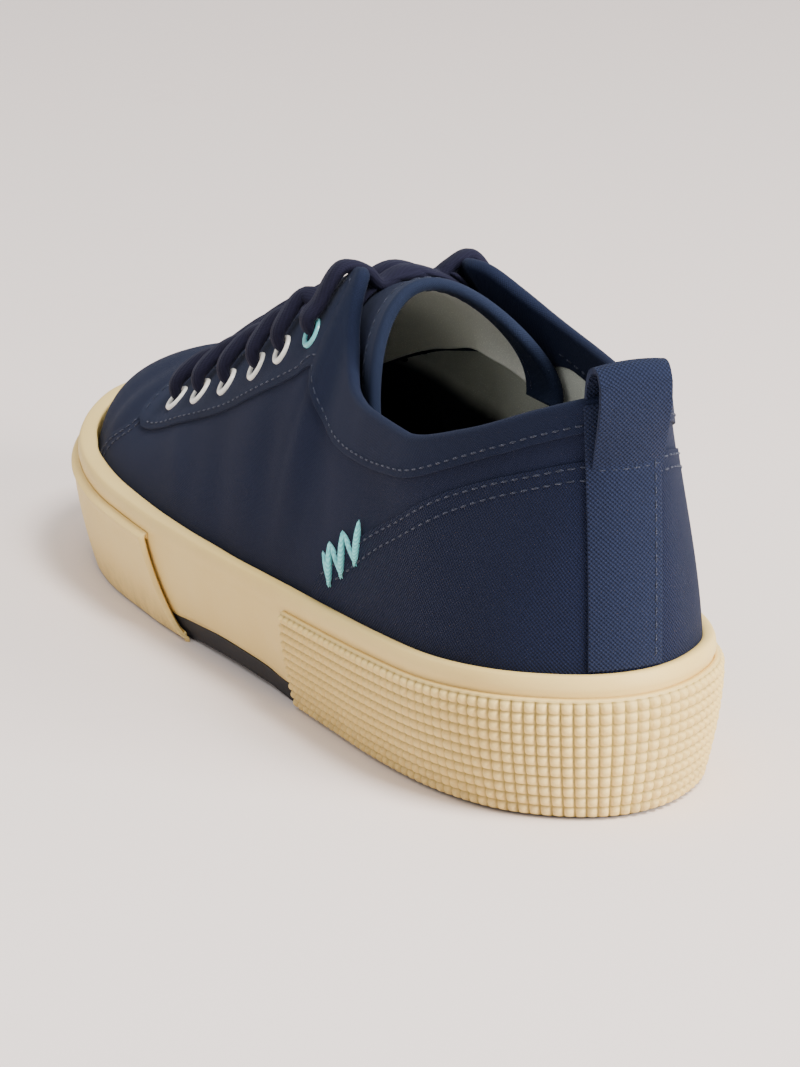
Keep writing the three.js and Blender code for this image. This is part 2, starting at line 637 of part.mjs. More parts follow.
// Pull loop: webbing sewn up the back of the heel, folded over above the collar and
// down again inside.
function makePullLoop() {
  const outside = gap + loopThickness;
  const inside = -wallThickness - gap - loopThickness;
  const sections = evenly(loopColumns, loopWidth / 2, -loopWidth / 2).map((out) => {
    const foot = rowAtHeight(0, heelEdge.rim + loopFoot);
    const upward = evenly(loopRows, foot, 1);
    const downward = evenly(loopInnerRows, 1, loopInnerRow);
    const fold = (near, far, rise) => {
      const one = heelPoint(out, 1, near);
      const other = heelPoint(out, 1, far);
      const raised = (point, share) => point.clone().add(new THREE.Vector3(0, 0, share * rise));
      const middle = one.clone().lerp(other, 0.5);
      return [raised(one, loopShoulder), raised(middle, 1), raised(other, loopShoulder)];
    };
    return {
      outer: [
        ...upward.map((v) => heelPoint(out, v, outside)),
        ...fold(outside, inside, loopRise),
        ...downward.map((v) => heelPoint(out, v, inside)),
      ],
      inner: [
        ...upward.map((v) => heelPoint(out, v, gap)),
        ...fold(gap, inside + loopThickness, loopRise - loopThickness),
        ...downward.map((v) => heelPoint(out, v, inside + loopThickness)),
      ],
    };
  });
  return band(sections, false);
}

const shoe = new THREE.Group();

function addPiece(name, geometry, finish) {
  const mesh = new THREE.Mesh(geometry, new THREE.MeshStandardMaterial({ ...finish, metalness: 0 }));
  mesh.name = name;
  shoe.add(mesh);
}

const creamTape = { color: 0xdfc998, roughness: 0.55 };
const creamCore = { color: 0xdfc998, roughness: 0.8 };
const darkRubber = { color: 0x23242c, roughness: 0.8 };
const navyCanvas = { color: 0x1f2b45, roughness: 0.9 };
const navyLace = { color: 0x1b2238, roughness: 0.85 };
const navyWebbing = { color: 0x27375a, roughness: 0.9 };
const greyLining = { color: 0x9a9b93, roughness: 0.9 };
const ivoryEnamel = { color: 0xcdc3a6, roughness: 0.35 };
const tealEnamel = { color: 0x2f8f86, roughness: 0.35 };

addPiece('outsole', makeOutsole(), darkRubber);
addPiece('midsole', makeMidsole(), creamCore);
addPiece('foxing', makeFoxing(), creamTape);
addPiece('toe_bumper', makeToeBumper(), creamTape);
addPiece('heel_bumper', makeHeelBumper(), creamTape);
addPiece('insole', makeInsole(), greyLining);
addPiece('upper', makeUpper(), navyCanvas);
addPiece('tongue', makeTongue(), navyCanvas);
[['lateral', 1], ['medial', -1]].forEach(([name, side]) => {
  eyeletRows.forEach((row, i) => {
    const finish = i === eyeletRows.length - 1 ? tealEnamel : ivoryEnamel;
    addPiece(`eyelet_${name}_${i + 1}`, makeEyelet(side, i), finish);
  });
});
addPiece('lace', makeLace(), navyLace);
addPiece('pull_loop', makePullLoop(), navyWebbing);

export default shoe;
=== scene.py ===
import math

import bmesh
import bpy
import numpy as np
from mathutils import Matrix, Vector, kdtree


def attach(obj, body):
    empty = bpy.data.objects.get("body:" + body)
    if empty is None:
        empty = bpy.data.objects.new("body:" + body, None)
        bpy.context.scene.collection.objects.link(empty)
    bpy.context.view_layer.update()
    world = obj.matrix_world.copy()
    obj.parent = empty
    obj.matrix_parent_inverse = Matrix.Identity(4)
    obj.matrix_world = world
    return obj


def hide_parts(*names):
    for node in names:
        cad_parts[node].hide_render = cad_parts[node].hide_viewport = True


# A low canvas sneaker, left foot. Shoe sizes are in millimetres and become metres in each mesh.
# s runs forward from the heel, t out to the lateral side, z up. A lap angle runs round the shoe:
# 0 at the heel, half a turn at the toe, the lateral side first and the medial side on the way back.

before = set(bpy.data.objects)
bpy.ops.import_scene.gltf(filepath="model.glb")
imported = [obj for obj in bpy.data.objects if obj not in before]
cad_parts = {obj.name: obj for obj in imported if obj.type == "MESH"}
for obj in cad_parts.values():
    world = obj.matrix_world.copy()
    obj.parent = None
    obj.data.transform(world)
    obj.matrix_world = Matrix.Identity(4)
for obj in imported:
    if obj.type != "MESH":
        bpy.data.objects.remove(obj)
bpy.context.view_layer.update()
print("frame loaded")

mm = 0.001
fullTurn = 2 * math.pi

# Camera and light come first, so that the view is settled before the pieces.
cameraSettings = {
    "place": (0.4585, 1.0796, 0.3847),
    "aim": (0.0038, 0.018, 0.0329),
    "lens": 176,
    "roll": -1.1,  # degrees
}


def makeCamera(settings):
    data = bpy.data.cameras.new("camera")
    data.lens = settings["lens"]
    data.sensor_width = 36
    camera = bpy.data.objects.new("camera", data)
    bpy.context.scene.collection.objects.link(camera)
    camera.location = settings["place"]
    look = Vector(settings["aim"]) - Vector(settings["place"])
    turn = look.to_track_quat("-Z", "Y").to_matrix()
    roll = Matrix.Rotation(math.radians(settings["roll"]), 3, "Z")
    camera.rotation_euler = (turn @ roll).to_euler()
    bpy.context.scene.camera = camera


makeCamera(cameraSettings)

lightSettings = {
    "key": dict(place=(-0.3, 0.75, 1.45), size=0.55, watts=38, tint=(1, 0.97, 0.93)),
    "front": dict(place=(-0.8, 1.4, 0.52), size=0.8, watts=44, tint=(1, 0.97, 0.94)),
    "fill": dict(place=(1.1, 0.3, 0.9), size=1.5, watts=5, tint=(1, 0.98, 0.96)),
    "top": dict(place=(0.1, -0.5, 1.5), size=1.6, watts=10, tint=(1, 0.98, 0.96)),
    "sky": 0.57,
    "skyTint": (0.93, 0.94, 0.97),
}


def makeLights(settings):
    for name in ("key", "front", "fill", "top"):
        values = settings[name]
        data = bpy.data.lights.new(name, "AREA")
        data.energy = values["watts"]
        data.size = values["size"]
        data.color = values["tint"]
        light = bpy.data.objects.new(name, data)
        light.location = values["place"]
        light.rotation_euler = (-Vector(values["place"])).to_track_quat("-Z", "Y").to_euler()
        bpy.context.scene.collection.objects.link(light)
    world = bpy.data.worlds.new("world")
    world.use_nodes = True
    backdrop = world.node_tree.nodes["Background"].inputs
    backdrop["Color"].default_value = (*settings["skyTint"], 1)
    backdrop["Strength"].default_value = settings["sky"]
    bpy.context.scene.world = world


makeLights(lightSettings)


shoe = {"soleLength": 275, "gap": 0.3, "foxing": 2.2, "overlay": 2.25, "widest": 25, "rimTaper": 0.3,
        "foxingGap": 0.5, "panelFoot": 0.03, "wrapBelowRim": 4.9}
featherInset = shoe["foxing"] + shoe["gap"] + shoe["foxingGap"]
upward = np.array([0, 0, 1.0])

# Outline of the sole at its widest height: rows of s (from the heel), out, rim height and tuck
# towards the floor.
heelEdge = dict(s=shoe["overlay"], out=0, rim=33.4, tuck=4.6)
toeEdge = dict(s=shoe["soleLength"] - shoe["overlay"], out=-4, rim=35.3, tuck=4.6)


def table(columns, *rows):
    names = columns.split()
    return [dict(zip(names, row)) for row in rows]


lateralEdge = table(
    "s out rim tuck",
    (9, 17.5, 33.2, 4.6), (20, 27.5, 32.7, 4.6), (38, 34.5, 31.7, 4.6), (60, 38, 31.2, 4.6),
    (85, 39.6, 30.2, 4.8), (110, 41, 29.3, 5), (135, 43, 28.8, 5), (160, 44.8, 28.7, 4.8),
    (180, 45.7, 28.7, 4.6), (200, 45.7, 29, 4.6), (220, 44, 29.8, 4.6), (238, 39.5, 31, 4.6),
    (254, 31, 33, 4.6), (266, 18.5, 35, 4.6))
medialEdge = table(
    "s out rim tuck",
    (9, 17.5, 33.2, 4.6), (20, 27.5, 32.7, 4.6), (38, 34, 31.7, 4.6), (60, 35.8, 30.5, 5),
    (85, 35.2, 29.1, 6), (110, 34, 28.4, 7.5), (135, 34.2, 28.2, 8.5), (160, 36.8, 28.5, 8),
    (180, 40.5, 29.3, 6.5), (200, 44.2, 30.5, 5.2), (220, 45.7, 32.3, 4.6), (238, 43.3, 33.5, 4.6),
    (254, 36.5, 34.5, 4.6), (266, 25, 35.1, 4.6))
groundRows = table(
    "s z seat",
    (0, 0, 20), (108, 0, 19.5), (118, 1, 19), (137, 1.4, 18), (156, 1, 17), (166, 0, 16.5), (222, 0, 16),
    (240, 1.4, 16), (258, 4.2, 16), (275, 7.5, 16))
heelTop = dict(s=shoe["overlay"], topS=5, out=0, z=93, rise=30, lean=2, reach=26, drop=88)
toeTop = dict(s=toeEdge["s"], topS=217, out=-1, z=56, rise=23.5, lean=0, reach=36, drop=14)
lateralTop = table(
    "s topS out z rise lean reach drop",
    (7, 7.5, 8.5, 92.2, 29, 2, 25, 88), (20, 18, 15.8, 88, 26, 2, 22, 86),
    (40, 37, 24.3, 80.2, 22, 2, 18, 83), (60, 59, 28.8, 74.8, 18, 2, 16, 79),
    (80, 79, 28.4, 74.9, 18, 1, 17, 76), (88, 87.5, 27.3, 75.4, 18, 1, 18, 73.5),
    (95, 95.4, 25.6, 77, 18, 1, 19, 71), (104, 105, 21.9, 82.3, 18, 1, 21, 66),
    (110, 109.8, 19.2, 89.5, 18, 1, 23, 61), (115, 112.8, 16.2, 96, 18, 1, 25, 56),
    (121, 116.5, 14.6, 97.5, 18, 1, 25, 53), (128, 123, 15.5, 93.5, 18, 1, 24, 51),
    (138, 134, 17.5, 86.5, 18, 1, 23, 49), (152, 150, 19.3, 77, 17, 0, 21, 46),
    (170, 168, 20, 68, 16, 0, 19, 43), (190, 187, 20.2, 60, 16, 0, 18, 40),
    (210, 202, 19, 54.8, 17, 0, 19, 36), (234, 213, 12, 54.6, 20.5, 0, 26, 24))
medialTop = table(
    "s topS out z rise lean reach drop",
    (7, 7.5, 8.5, 92.2, 29, 2, 25, 88), (20, 18, 15.8, 88.7, 26, 2, 22, 86),
    (40, 37, 24.2, 82.4, 22, 2, 19, 83), (60, 59, 28.7, 79.6, 20, 1, 18, 79),
    (80, 79, 28, 82.3, 20, 1, 20, 76), (95, 95, 24.8, 86.8, 20, 1, 22, 71),
    (105, 105, 21.2, 91.2, 20, 1, 24, 66), (113, 112, 17.5, 95, 20, 1, 25, 59),
    (121, 118.5, 15, 95.8, 20, 1, 25, 54), (129, 125.5, 15.8, 92.2, 20, 1, 24, 51),
    (139, 136, 17.5, 86.5, 20, 1, 23, 49), (152, 151, 19.3, 79.5, 20, 0, 21, 47),
    (170, 170, 21, 71, 20, 0, 20, 45), (190, 188, 22.4, 64, 21, 0, 19, 42),
    (210, 204, 21.2, 58, 20.5, 0, 20, 36), (234, 214, 12.5, 55.6, 22.5, 0, 27, 24))
tongueRows = table(
    "s z half fall wrap shift skew",
    (96, 97, 24.2, 29, 97, -2.4, 6.2), (108, 95.5, 21, 25, 92, -1.4, 3),
    (122, 92.5, 19, 21, 84, -0.3, 0.5), (145, 84.5, 21, 22, 74, 0, 0), (170, 75, 23, 22, 68, 0, 0),
    (196, 63, 23.5, 21, 62, 0, 0), (212, 55.5, 24, 20, 55, 0, 0), (226, 49.5, 25, 19, 50, 0, 0))


def smooth(keys, values):
    # a curve through values at growing keys, which never swings past them
    keys, values = np.array(keys, float), np.array(values, float)
    rise = np.diff(values) / np.diff(keys)
    behind, ahead = np.r_[rise[0], rise], np.r_[rise, rise[-1]]
    across, apart = (np.r_[line[1:], line[-1]] - np.r_[line[0], line[:-1]] for line in (values, keys))
    span = across / apart
    limit = 3 * np.minimum(abs(behind), abs(ahead))
    slopes = np.where(behind * ahead <= 0, 0, np.clip(span, -limit, limit))

    def at(x):
        x = np.asarray(x, float)
        i = np.searchsorted(keys[1:-1], x)
        width = keys[i + 1] - keys[i]
        f = (x - keys[i]) / width
        g = 1 - f
        ends = values[i] * (1 + 2 * f) * g * g + values[i + 1] * f * f * (1 + 2 * g)
        return ends + width * f * g * (slopes[i] * g - slopes[i + 1] * f)

    return at


def byStation(rows, column):
    return smooth([row["s"] for row in rows], [row[column] for row in rows])


edgeLength = toeEdge["s"] - heelEdge["s"]


def lapOf(s):
    return np.arccos(np.clip(1 - 2 * (np.asarray(s, float) - heelEdge["s"]) / edgeLength, -1, 1))


def stationOf(lap):
    return heelEdge["s"] + edgeLength * (1 - np.cos(lap)) / 2


def ring(heel, lateral, toe, medial, column, mirrored=False):
    sign = -1 if mirrored else 1
    knots = [(0, heel[column]), (math.pi, toe[column])]
    knots += [(float(lapOf(row["s"])), row[column]) for row in lateral]
    knots += [(fullTurn - float(lapOf(row["s"])), sign * row[column]) for row in medial]
    knots = [(lap + turn, value) for turn in (-fullTurn, 0, fullTurn) for lap, value in knots]
    knots.sort()
    return smooth([lap for lap, _ in knots], [value for _, value in knots])


edgeOut = ring(heelEdge, lateralEdge, toeEdge, medialEdge, "out", True)
rimHeight = ring(heelEdge, lateralEdge, toeEdge, medialEdge, "rim")
sidewallTuck = ring(heelEdge, lateralEdge, toeEdge, medialEdge, "tuck")
groundHeight = byStation(groundRows, "z")
seatDepth = byStation(groundRows, "seat")
topLine = {c: ring(heelTop, lateralTop, toeTop, medialTop, c, c == "out")
           for c in ("topS", "out", "z", "rise", "lean", "reach", "drop")}


def place(s, t, z):
    s, t, z = np.broadcast_arrays(s, t, z)
    return np.stack([t, shoe["soleLength"] / 2 - s, z], -1).astype(float)


def stationAt(points):
    return shoe["soleLength"] / 2 - points[..., 1]


def unit(v):
    return v / np.maximum(np.linalg.norm(v, axis=-1, keepdims=True), 1e-9)


def runOf(points):
    # length along a line of points, up to each of them
    return np.r_[0, np.cumsum(np.linalg.norm(np.diff(points, axis=0), axis=1))]


def outward(lap):
    step = 0.01
    ds = stationOf(lap + step) - stationOf(lap - step)
    dt = edgeOut(lap + step) - edgeOut(lap - step)
    return unit(np.stack([ds, dt, 0 * ds], -1))


def edgePoint(lap, inset, z):
    return place(stationOf(lap), edgeOut(lap), z) - outward(lap) * np.asarray(inset)[..., None]


def rimAboveGround(lap):
    return rimHeight(lap) - groundHeight(stationOf(lap))


def sidewallPoint(lap, up, proud=0.0):
    ground = groundHeight(stationOf(lap))
    above = np.maximum(up - shoe["widest"], 0) / (rimAboveGround(lap) - shoe["widest"])
    below = np.maximum(shoe["widest"] - up, 0) / shoe["widest"]
    inset = shoe["rimTaper"] * above + sidewallTuck(lap) * below ** 1.6
    return edgePoint(lap, inset - proud, ground + up)


def basePoint(lap, v):
    lap, v = np.broadcast_arrays(np.asarray(lap, float), np.asarray(v, float))
    out = outward(lap)
    s = stationOf(lap)
    foot = edgePoint(lap, featherInset, groundHeight(s) + seatDepth(s) + shoe["gap"])
    top = place(topLine["topS"](lap), topLine["out"](lap), topLine["z"](lap))
    lean, drop, rise, reach = (topLine[key](lap)[..., None] for key in ("lean", "drop", "rise", "reach"))
    lean, drop = np.radians(lean), np.radians(drop)
    low = foot + rise * (upward * np.cos(lean) + out * np.sin(lean))
    high = top + reach * (out * np.cos(drop) - upward * np.sin(drop))
    v = v[..., None]
    w = 1 - v
    return foot * w ** 3 + 3 * low * w * w * v + 3 * high * w * v * v + top * v ** 3


# Lookups over the upper's face: distance up the wall and distance from the top line.
lapGrid = np.linspace(0, fullTurn, 721)
rowGrid = np.linspace(0, 1, 161)
facePoints = basePoint(lapGrid[:, None], rowGrid[None, :])
fromSole = np.concatenate(
    [np.zeros((len(lapGrid), 1)), np.cumsum(np.linalg.norm(np.diff(facePoints, axis=1), axis=2), 1)], 1)
outlineLength = runOf(facePoints[:, 40])


def fromEdgeTable():
    tree = kdtree.KDTree(len(lapGrid))
    for i, point in enumerate(facePoints[:, -1]):
        tree.insert(point, i)
    tree.balance()
    distance = np.array([[tree.find(point)[2] for point in column[::2]] for column in facePoints])
    return np.maximum.accumulate(distance[:, ::-1], axis=1)[:, ::-1]


widthGrid = np.arange(0, 40.5, 0.5)
fromEdge = fromEdgeTable()
rowAtWidth = np.array([np.interp(widthGrid, column[::-1], rowGrid[::2][::-1]) for column in fromEdge])
heightGrid = np.arange(15, 101, 0.5)
rowAtLevel = np.array([np.interp(heightGrid, column[:, 2], rowGrid) for column in facePoints])


def lookUp(values, columns, lap, x):
    lap, x = np.broadcast_arrays(np.asarray(lap, float), np.asarray(x, float))
    i = (np.mod(lap, fullTurn)) / (lapGrid[1] - lapGrid[0])
    j = np.clip((x - columns[0]) / (columns[1] - columns[0]), 0, len(columns) - 1.001)
    i0, j0 = np.minimum(i.astype(int), len(lapGrid) - 2), j.astype(int)
    fi, fj = i - i0, j - j0
    low = values[i0, j0] * (1 - fj) + values[i0, j0 + 1] * fj
    high = values[i0 + 1, j0] * (1 - fj) + values[i0 + 1, j0 + 1] * fj
    return low * (1 - fi) + high * fi


def rowFromEdge(lap, width):
    return lookUp(rowAtWidth, widthGrid, lap, width)


def widthAtRow(lap, v):
    return lookUp(fromEdge, rowGrid[::2], lap, v)


def rowAtHeight(lap, z):
    return lookUp(rowAtLevel, heightGrid, lap, z)


def roundLength(lap, lengths):
    turns = np.floor(np.asarray(lap) / fullTurn)
    return np.interp(np.mod(lap, fullTurn), lapGrid, lengths) + turns * lengths[-1]


def weaveOf(lap, v):
    # thread directions: along the outline and up the wall, in millimetres
    return np.stack([roundLength(lap, outlineLength), lookUp(fromSole, rowGrid, lap, v)], -1)


# Soft troughs (below zero) and ridges pressed into the canvas: place on the side, size and turn.
creases = table(
    "side s z length width turn depth",
    (1, 150, 44, 26, 11, 62, -0.9), (1, 126, 52, 22, 9, 75, -0.8), (1, 112, 56, 20, 8, 84, 0.5),
    (1, 96, 52, 18, 9, 70, -0.5), (1, 176, 40, 22, 8, 40, 0.6), (1, 232, 40, 20, 7, 100, -0.6),
    (1, 222, 46, 16, 6, 112, 0.4), (1, 70, 60, 26, 9, 12, -0.5), (1, 44, 56, 20, 12, 85, 0.5),
    (-1, 150, 46, 26, 11, 62, -0.8), (-1, 124, 54, 22, 10, 78, -0.8), (-1, 98, 56, 18, 9, 80, 0.5),
    (-1, 228, 44, 20, 8, 105, -0.6), (-1, 66, 58, 24, 10, 16, -0.5), (-1, 186, 44, 20, 8, 50, 0.5))


def creaseAt(points):
    total = np.zeros(points.shape[:-1])
    for row in creases:
        side = points[..., 0] * row["side"] > 0
        ds, dz = stationAt(points) - row["s"], points[..., 2] - row["z"]
        turn = math.radians(row["turn"])
        along = ds * math.cos(turn) + dz * math.sin(turn)
        across = dz * math.cos(turn) - ds * math.sin(turn)
        swell = np.exp(-(along / row["length"]) ** 2 * 2 - (across / row["width"]) ** 2 * 2)
        total = total + np.where(side, row["depth"] * swell, 0)
    return total


def upperNormal(lap, v):
    step = 0.004
    lo, hi = np.clip(v - step, 0, 1), np.clip(v + step, 0, 1)
    across = basePoint(lap + step, v) - basePoint(lap - step, v)
    along = basePoint(lap, hi) - basePoint(lap, lo)
    return unit(np.cross(along, across))


def upperAt(lap, v, proud=0.0):
    points = basePoint(lap, v)
    lift = creaseAt(points) + proud
    return points + upperNormal(lap, v) * np.asarray(lift)[..., None]


def wrapShares(p):
    # a wrapped edge: p 0 to 0.4 up the outside, to 0.6 over the top line, to 1 down the inside
    return np.clip(p / 0.4, 0, 1), np.clip((p - 0.4) / 0.2, 0, 1) * math.pi, np.clip((p - 0.6) / 0.4, 0, 1)


def wrapParts(p, outer, over, inner):
    return np.where(p < 0.4, outer, np.where(p > 0.6, inner, over))


def overEdge(lap, p, outerWidth, innerWidth, outside, inside):
    lap, p = np.broadcast_arrays(np.asarray(lap, float), np.asarray(p, float))
    radius = (outside - inside) / 2 + 0 * lap
    climb, turn, descent = wrapShares(p)
    outer = upperAt(lap, rowFromEdge(lap, outerWidth * (1 - climb)), outside)
    inner = upperAt(lap, rowFromEdge(lap, innerWidth * descent), inside)
    step, whole = 0.004, 1 + 0 * lap
    top = basePoint(lap, whole)
    normal = upperNormal(lap, whole)
    edge = unit(basePoint(lap + step, whole) - basePoint(lap - step, whole))
    rise = unit(np.cross(edge, normal))
    rise = rise * np.sign(np.sum(rise * (top - basePoint(lap, 0.96 * whole)), -1))[..., None]
    angle = turn[..., None]
    middle = top + normal * (outside - radius + creaseAt(top))[..., None]
    over = middle + radius[..., None] * (normal * np.cos(angle) + rise * np.sin(angle))
    return wrapParts(p[..., None], outer, over, inner)


# Materials are procedural; cloths read thread directions from the map called weave.
def shaderGroup(name, inputs, outputs):
    tree = bpy.data.node_groups.new(name, "ShaderNodeTree")
    for label, kind, value in inputs:
        socket = tree.interface.new_socket(label, in_out="INPUT", socket_type=kind)
        if value is not None:
            socket.default_value = value
    for label, kind in outputs:
        tree.interface.new_socket(label, in_out="OUTPUT", socket_type=kind)
    return tree, tree.nodes.new("NodeGroupInput"), tree.nodes.new("NodeGroupOutput")


def node(tree, kind, inputs=(), **settings):
    made = tree.nodes.new("ShaderNode" + kind)
    for key, value in settings.items():
        setattr(made, key, value)
    for key, value in dict(inputs).items():
        if isinstance(value, bpy.types.NodeSocket):
            tree.links.new(value, made.inputs[key])
        else:
            made.inputs[key].default_value = value
    return made


def math2(tree, operation, a, b=0.0, clamp=False):
    return node(tree, "Math", {0: a, 1: b}, operation=operation, use_clamp=clamp).outputs[0]


def blend(tree, factor, a, b, mode="MIX"):
    made = node(tree, "Mix", {0: factor, 6: a, 7: b}, data_type="RGBA", blend_type=mode)
    return made.outputs[2]


def remap(tree, value, given=(0.0, 1.0), wanted=(0.0, 1.0), **settings):
    inputs = {0: value, 1: given[0], 2: given[1], 3: wanted[0], 4: wanted[1]}
    return node(tree, "MapRange", inputs, **settings).outputs[0]


def noise(tree, place, scale, detail, **inputs):
    return node(tree, "TexNoise", {"Vector": place, "Scale": scale, "Detail": detail, **inputs})


def objectPlace(tree):
    return node(tree, "TexCoord").outputs["Object"]


def mottleOf(tree, **inputs):
    return node(tree, "Group", inputs, node_tree=mottleGroup).outputs


def shadeBy(tree, color, tone, wanted):
    return blend(tree, 1.0, color, remap(tree, tone, wanted=wanted), "MULTIPLY")


def pressInto(tree, shader, height, distance, strength=1.0):
    bump = node(tree, "Bump", {"Height": height, "Distance": distance, "Strength": strength})
    tree.links.new(bump.outputs[0], shader.inputs["Normal"])


def makeWeaveGroup():
    # plain weave: warp and weft bulge in turn, with slubs; reads thread directions in metres
    tree, given, out = shaderGroup(
        "plainWeave",
        [("Threads", "NodeSocketVector", None), ("Pitch", "NodeSocketFloat", 0.0006),
         ("Slub", "NodeSocketFloat", 0.35)],
        [("Height", "NodeSocketFloat"), ("Thread", "NodeSocketFloat"), ("Fleck", "NodeSocketFloat")])
    threads = given.outputs["Threads"]
    wobble = noise(tree, threads, 900.0, 1.0)
    shift = node(tree, "VectorMath", {0: wobble.outputs["Color"], 1: (-0.5, -0.5, 0)}, operation="ADD")
    small = node(tree, "VectorMath", {0: shift.outputs[0], "Scale": 0.00022}, operation="SCALE")
    bent = node(tree, "VectorMath", {0: threads, 1: small.outputs[0]}, operation="ADD")
    axes = node(tree, "SeparateXYZ", {0: bent.outputs[0]})
    turns = math2(tree, "DIVIDE", math.pi, given.outputs["Pitch"])
    warp = math2(tree, "SINE", math2(tree, "MULTIPLY", axes.outputs[0], turns))
    weft = math2(tree, "SINE", math2(tree, "MULTIPLY", axes.outputs[1], turns))
    over = math2(tree, "MULTIPLY", warp, weft)
    rounded = math2(tree, "POWER", math2(tree, "ABSOLUTE", over), 0.6)
    signed = math2(tree, "MULTIPLY", rounded, math2(tree, "SIGN", over))
    slubs = math2(tree, "SUBTRACT", noise(tree, threads, 420.0, 2.0).outputs[0], 0.5)
    uneven = math2(tree, "MULTIPLY", slubs, given.outputs["Slub"])
    half = math2(tree, "MULTIPLY_ADD", signed, 0.5)
    tree.links.new(math2(tree, "ADD", math2(tree, "ADD", half, 0.5), uneven), out.inputs["Height"])
    tree.links.new(math2(tree, "ABSOLUTE", over), out.inputs["Thread"])
    tree.links.new(noise(tree, threads, 2600.0, 1.0).outputs[0], out.inputs["Fleck"])
    return tree


def makeMottleGroup():
    # slow and quick patches of tone on the object's own coordinates
    tree, given, out = shaderGroup(
        "mottle", [("Broad", "NodeSocketFloat", 18.0), ("Fine", "NodeSocketFloat", 160.0)],
        [("Patch", "NodeSocketFloat"), ("Speck", "NodeSocketFloat")])
    for scale, detail, target in (("Broad", 3.0, "Patch"), ("Fine", 4.0, "Speck")):
        patches = noise(tree, objectPlace(tree), given.outputs[scale], detail)
        tree.links.new(patches.outputs[0], out.inputs[target])
    return tree


weaveGroup = makeWeaveGroup()
mottleGroup = makeMottleGroup()


def startMaterial(name, roughness, sheen=0.0, sheenTint=(1, 1, 1), specular=0.5, coat=0.0):
    material = bpy.data.materials.new(name)
    material.use_nodes = True
    tree = material.node_tree
    shader = tree.nodes["Principled BSDF"]
    values = {"Roughness": roughness, "Specular IOR Level": specular, "Sheen Weight": sheen,
              "Sheen Tint": (*sheenTint, 1), "Sheen Roughness": 0.45, "Coat Weight": coat}
    for label, value in values.items():
        shader.inputs[label].default_value = value
    return material, tree, shader


def makeCloth(name, color, light, pitch=0.0003, depth=0.0001, sheen=0.05, patch=0.2, shadeBelow=None):
    # shadeBelow: the heights between which painted shade, standing for the shadow inside the shoe, gives way
    # to the cloth's own colour
    material, tree, shader = startMaterial(name, 0.86, sheen, (0.55, 0.62, 0.85), 0.15)
    threadPlace = node(tree, "UVMap", uv_map="weave").outputs[0]
    weave = node(tree, "Group", {"Threads": threadPlace, "Pitch": pitch, "Slub": 0.35}, node_tree=weaveGroup)
    crowns = math2(tree, "MULTIPLY", weave.outputs["Height"], 0.75, True)
    threads = blend(tree, crowns, (*color, 1), (*light, 1))
    flecks = node(tree, "ValToRGB", {0: weave.outputs["Fleck"]})
    for stop, position in zip(flecks.color_ramp.elements, (0.58, 0.78)):
        stop.position = position
    fleckShare = math2(tree, "MULTIPLY", flecks.outputs[0], 0.35)
    flecked = blend(tree, fleckShare, threads, (*[2.2 * c for c in light], 1))
    toned = shadeBy(tree, flecked, mottleOf(tree, Broad=26, Fine=300)["Patch"], (1 - patch, 1 + patch))
    # painted shade: below shadeBelow the cloth fades to near black, standing for the shadow deep inside the
    # shoe
    if shadeBelow:
        axes = node(tree, "SeparateXYZ", {0: objectPlace(tree)})
        lit = remap(tree, axes.outputs[2], shadeBelow, interpolation_type="SMOOTHSTEP")
        toned = blend(tree, lit, (0.004, 0.004, 0.005, 1), toned)
    tree.links.new(toned, shader.inputs["Base Color"])
    pressInto(tree, shader, weave.outputs["Height"], depth)
    return material


def makeRubber(name, color, worn, dirt, roughness=0.48, shadedGrooves=False):
    # dirt gathers near the floor; with shadedGrooves, painted shade darkens the grooves where the mesh tells
    # a low height
    material, tree, shader = startMaterial(name, roughness, specular=0.4)
    mottle = mottleOf(tree, Broad=22, Fine=900.0)
    body = blend(tree, remap(tree, mottle["Patch"], (0.3, 0.7)), (*color, 1), (*worn, 1))
    axes = node(tree, "SeparateXYZ", {0: objectPlace(tree)})
    scuff = noise(tree, objectPlace(tree), 240.0, 5.0, Roughness=0.7).outputs[0]
    low = remap(tree, axes.outputs[2], (0.009, 0.0), (0.0, 0.55))
    grime = math2(tree, "MULTIPLY", low, remap(tree, scuff, (0.42, 0.62)))
    body = blend(tree, grime, body, (*dirt, 1))
    if shadedGrooves:
        # painted shade: the darker groove colour stands for the shadow between the studs
        told = node(tree, "Attribute", attribute_name="told").outputs["Fac"]
        shadow = (0.55 * color[0], 0.55 * color[1], 0.4 * color[2], 1)
        body = blend(tree, remap(tree, told, (0.0, 0.55)), shadow, body)
    tree.links.new(body, shader.inputs["Base Color"])
    rough = remap(tree, scuff, wanted=(roughness - 0.07, roughness + 0.14))
    tree.links.new(rough, shader.inputs["Roughness"])
    pressInto(tree, shader, mottle["Speck"], 0.00006, 0.8)
    return material


def makeRibbed(name, color, light, ribs, depth, sheen):
    # lace: slanting ribs on the thread directions, broken by the crossing yarn
    material, tree, shader = startMaterial(name, 0.85, sheen, (0.6, 0.65, 0.9), 0.15)
    axes = node(tree, "SeparateXYZ", {0: node(tree, "UVMap", uv_map="weave").outputs[0]})
    both = math2(tree, "ADD", axes.outputs[0], axes.outputs[1])
    slant, second = (
        math2(tree, "SINE", math2(tree, "MULTIPLY", value, fullTurn / size))
        for value, size in ((both, ribs), (axes.outputs[1], ribs * 0.8)))
    raised = math2(tree, "ADD", math2(tree, "MULTIPLY_ADD", math2(tree, "MULTIPLY", slant, second), 0.5), 0.5)
    mottle = mottleOf(tree, Broad=60, Fine=900)
    body = blend(tree, math2(tree, "MULTIPLY", raised, 0.8, True), (*color, 1), (*light, 1))
    tree.links.new(shadeBy(tree, body, mottle["Patch"], (0.75, 1.25)), shader.inputs["Base Color"])
    fuzz = math2(tree, "MULTIPLY_ADD", mottle["Speck"], 0.4)
    pressInto(tree, shader, math2(tree, "ADD", raised, fuzz), depth)
    return material


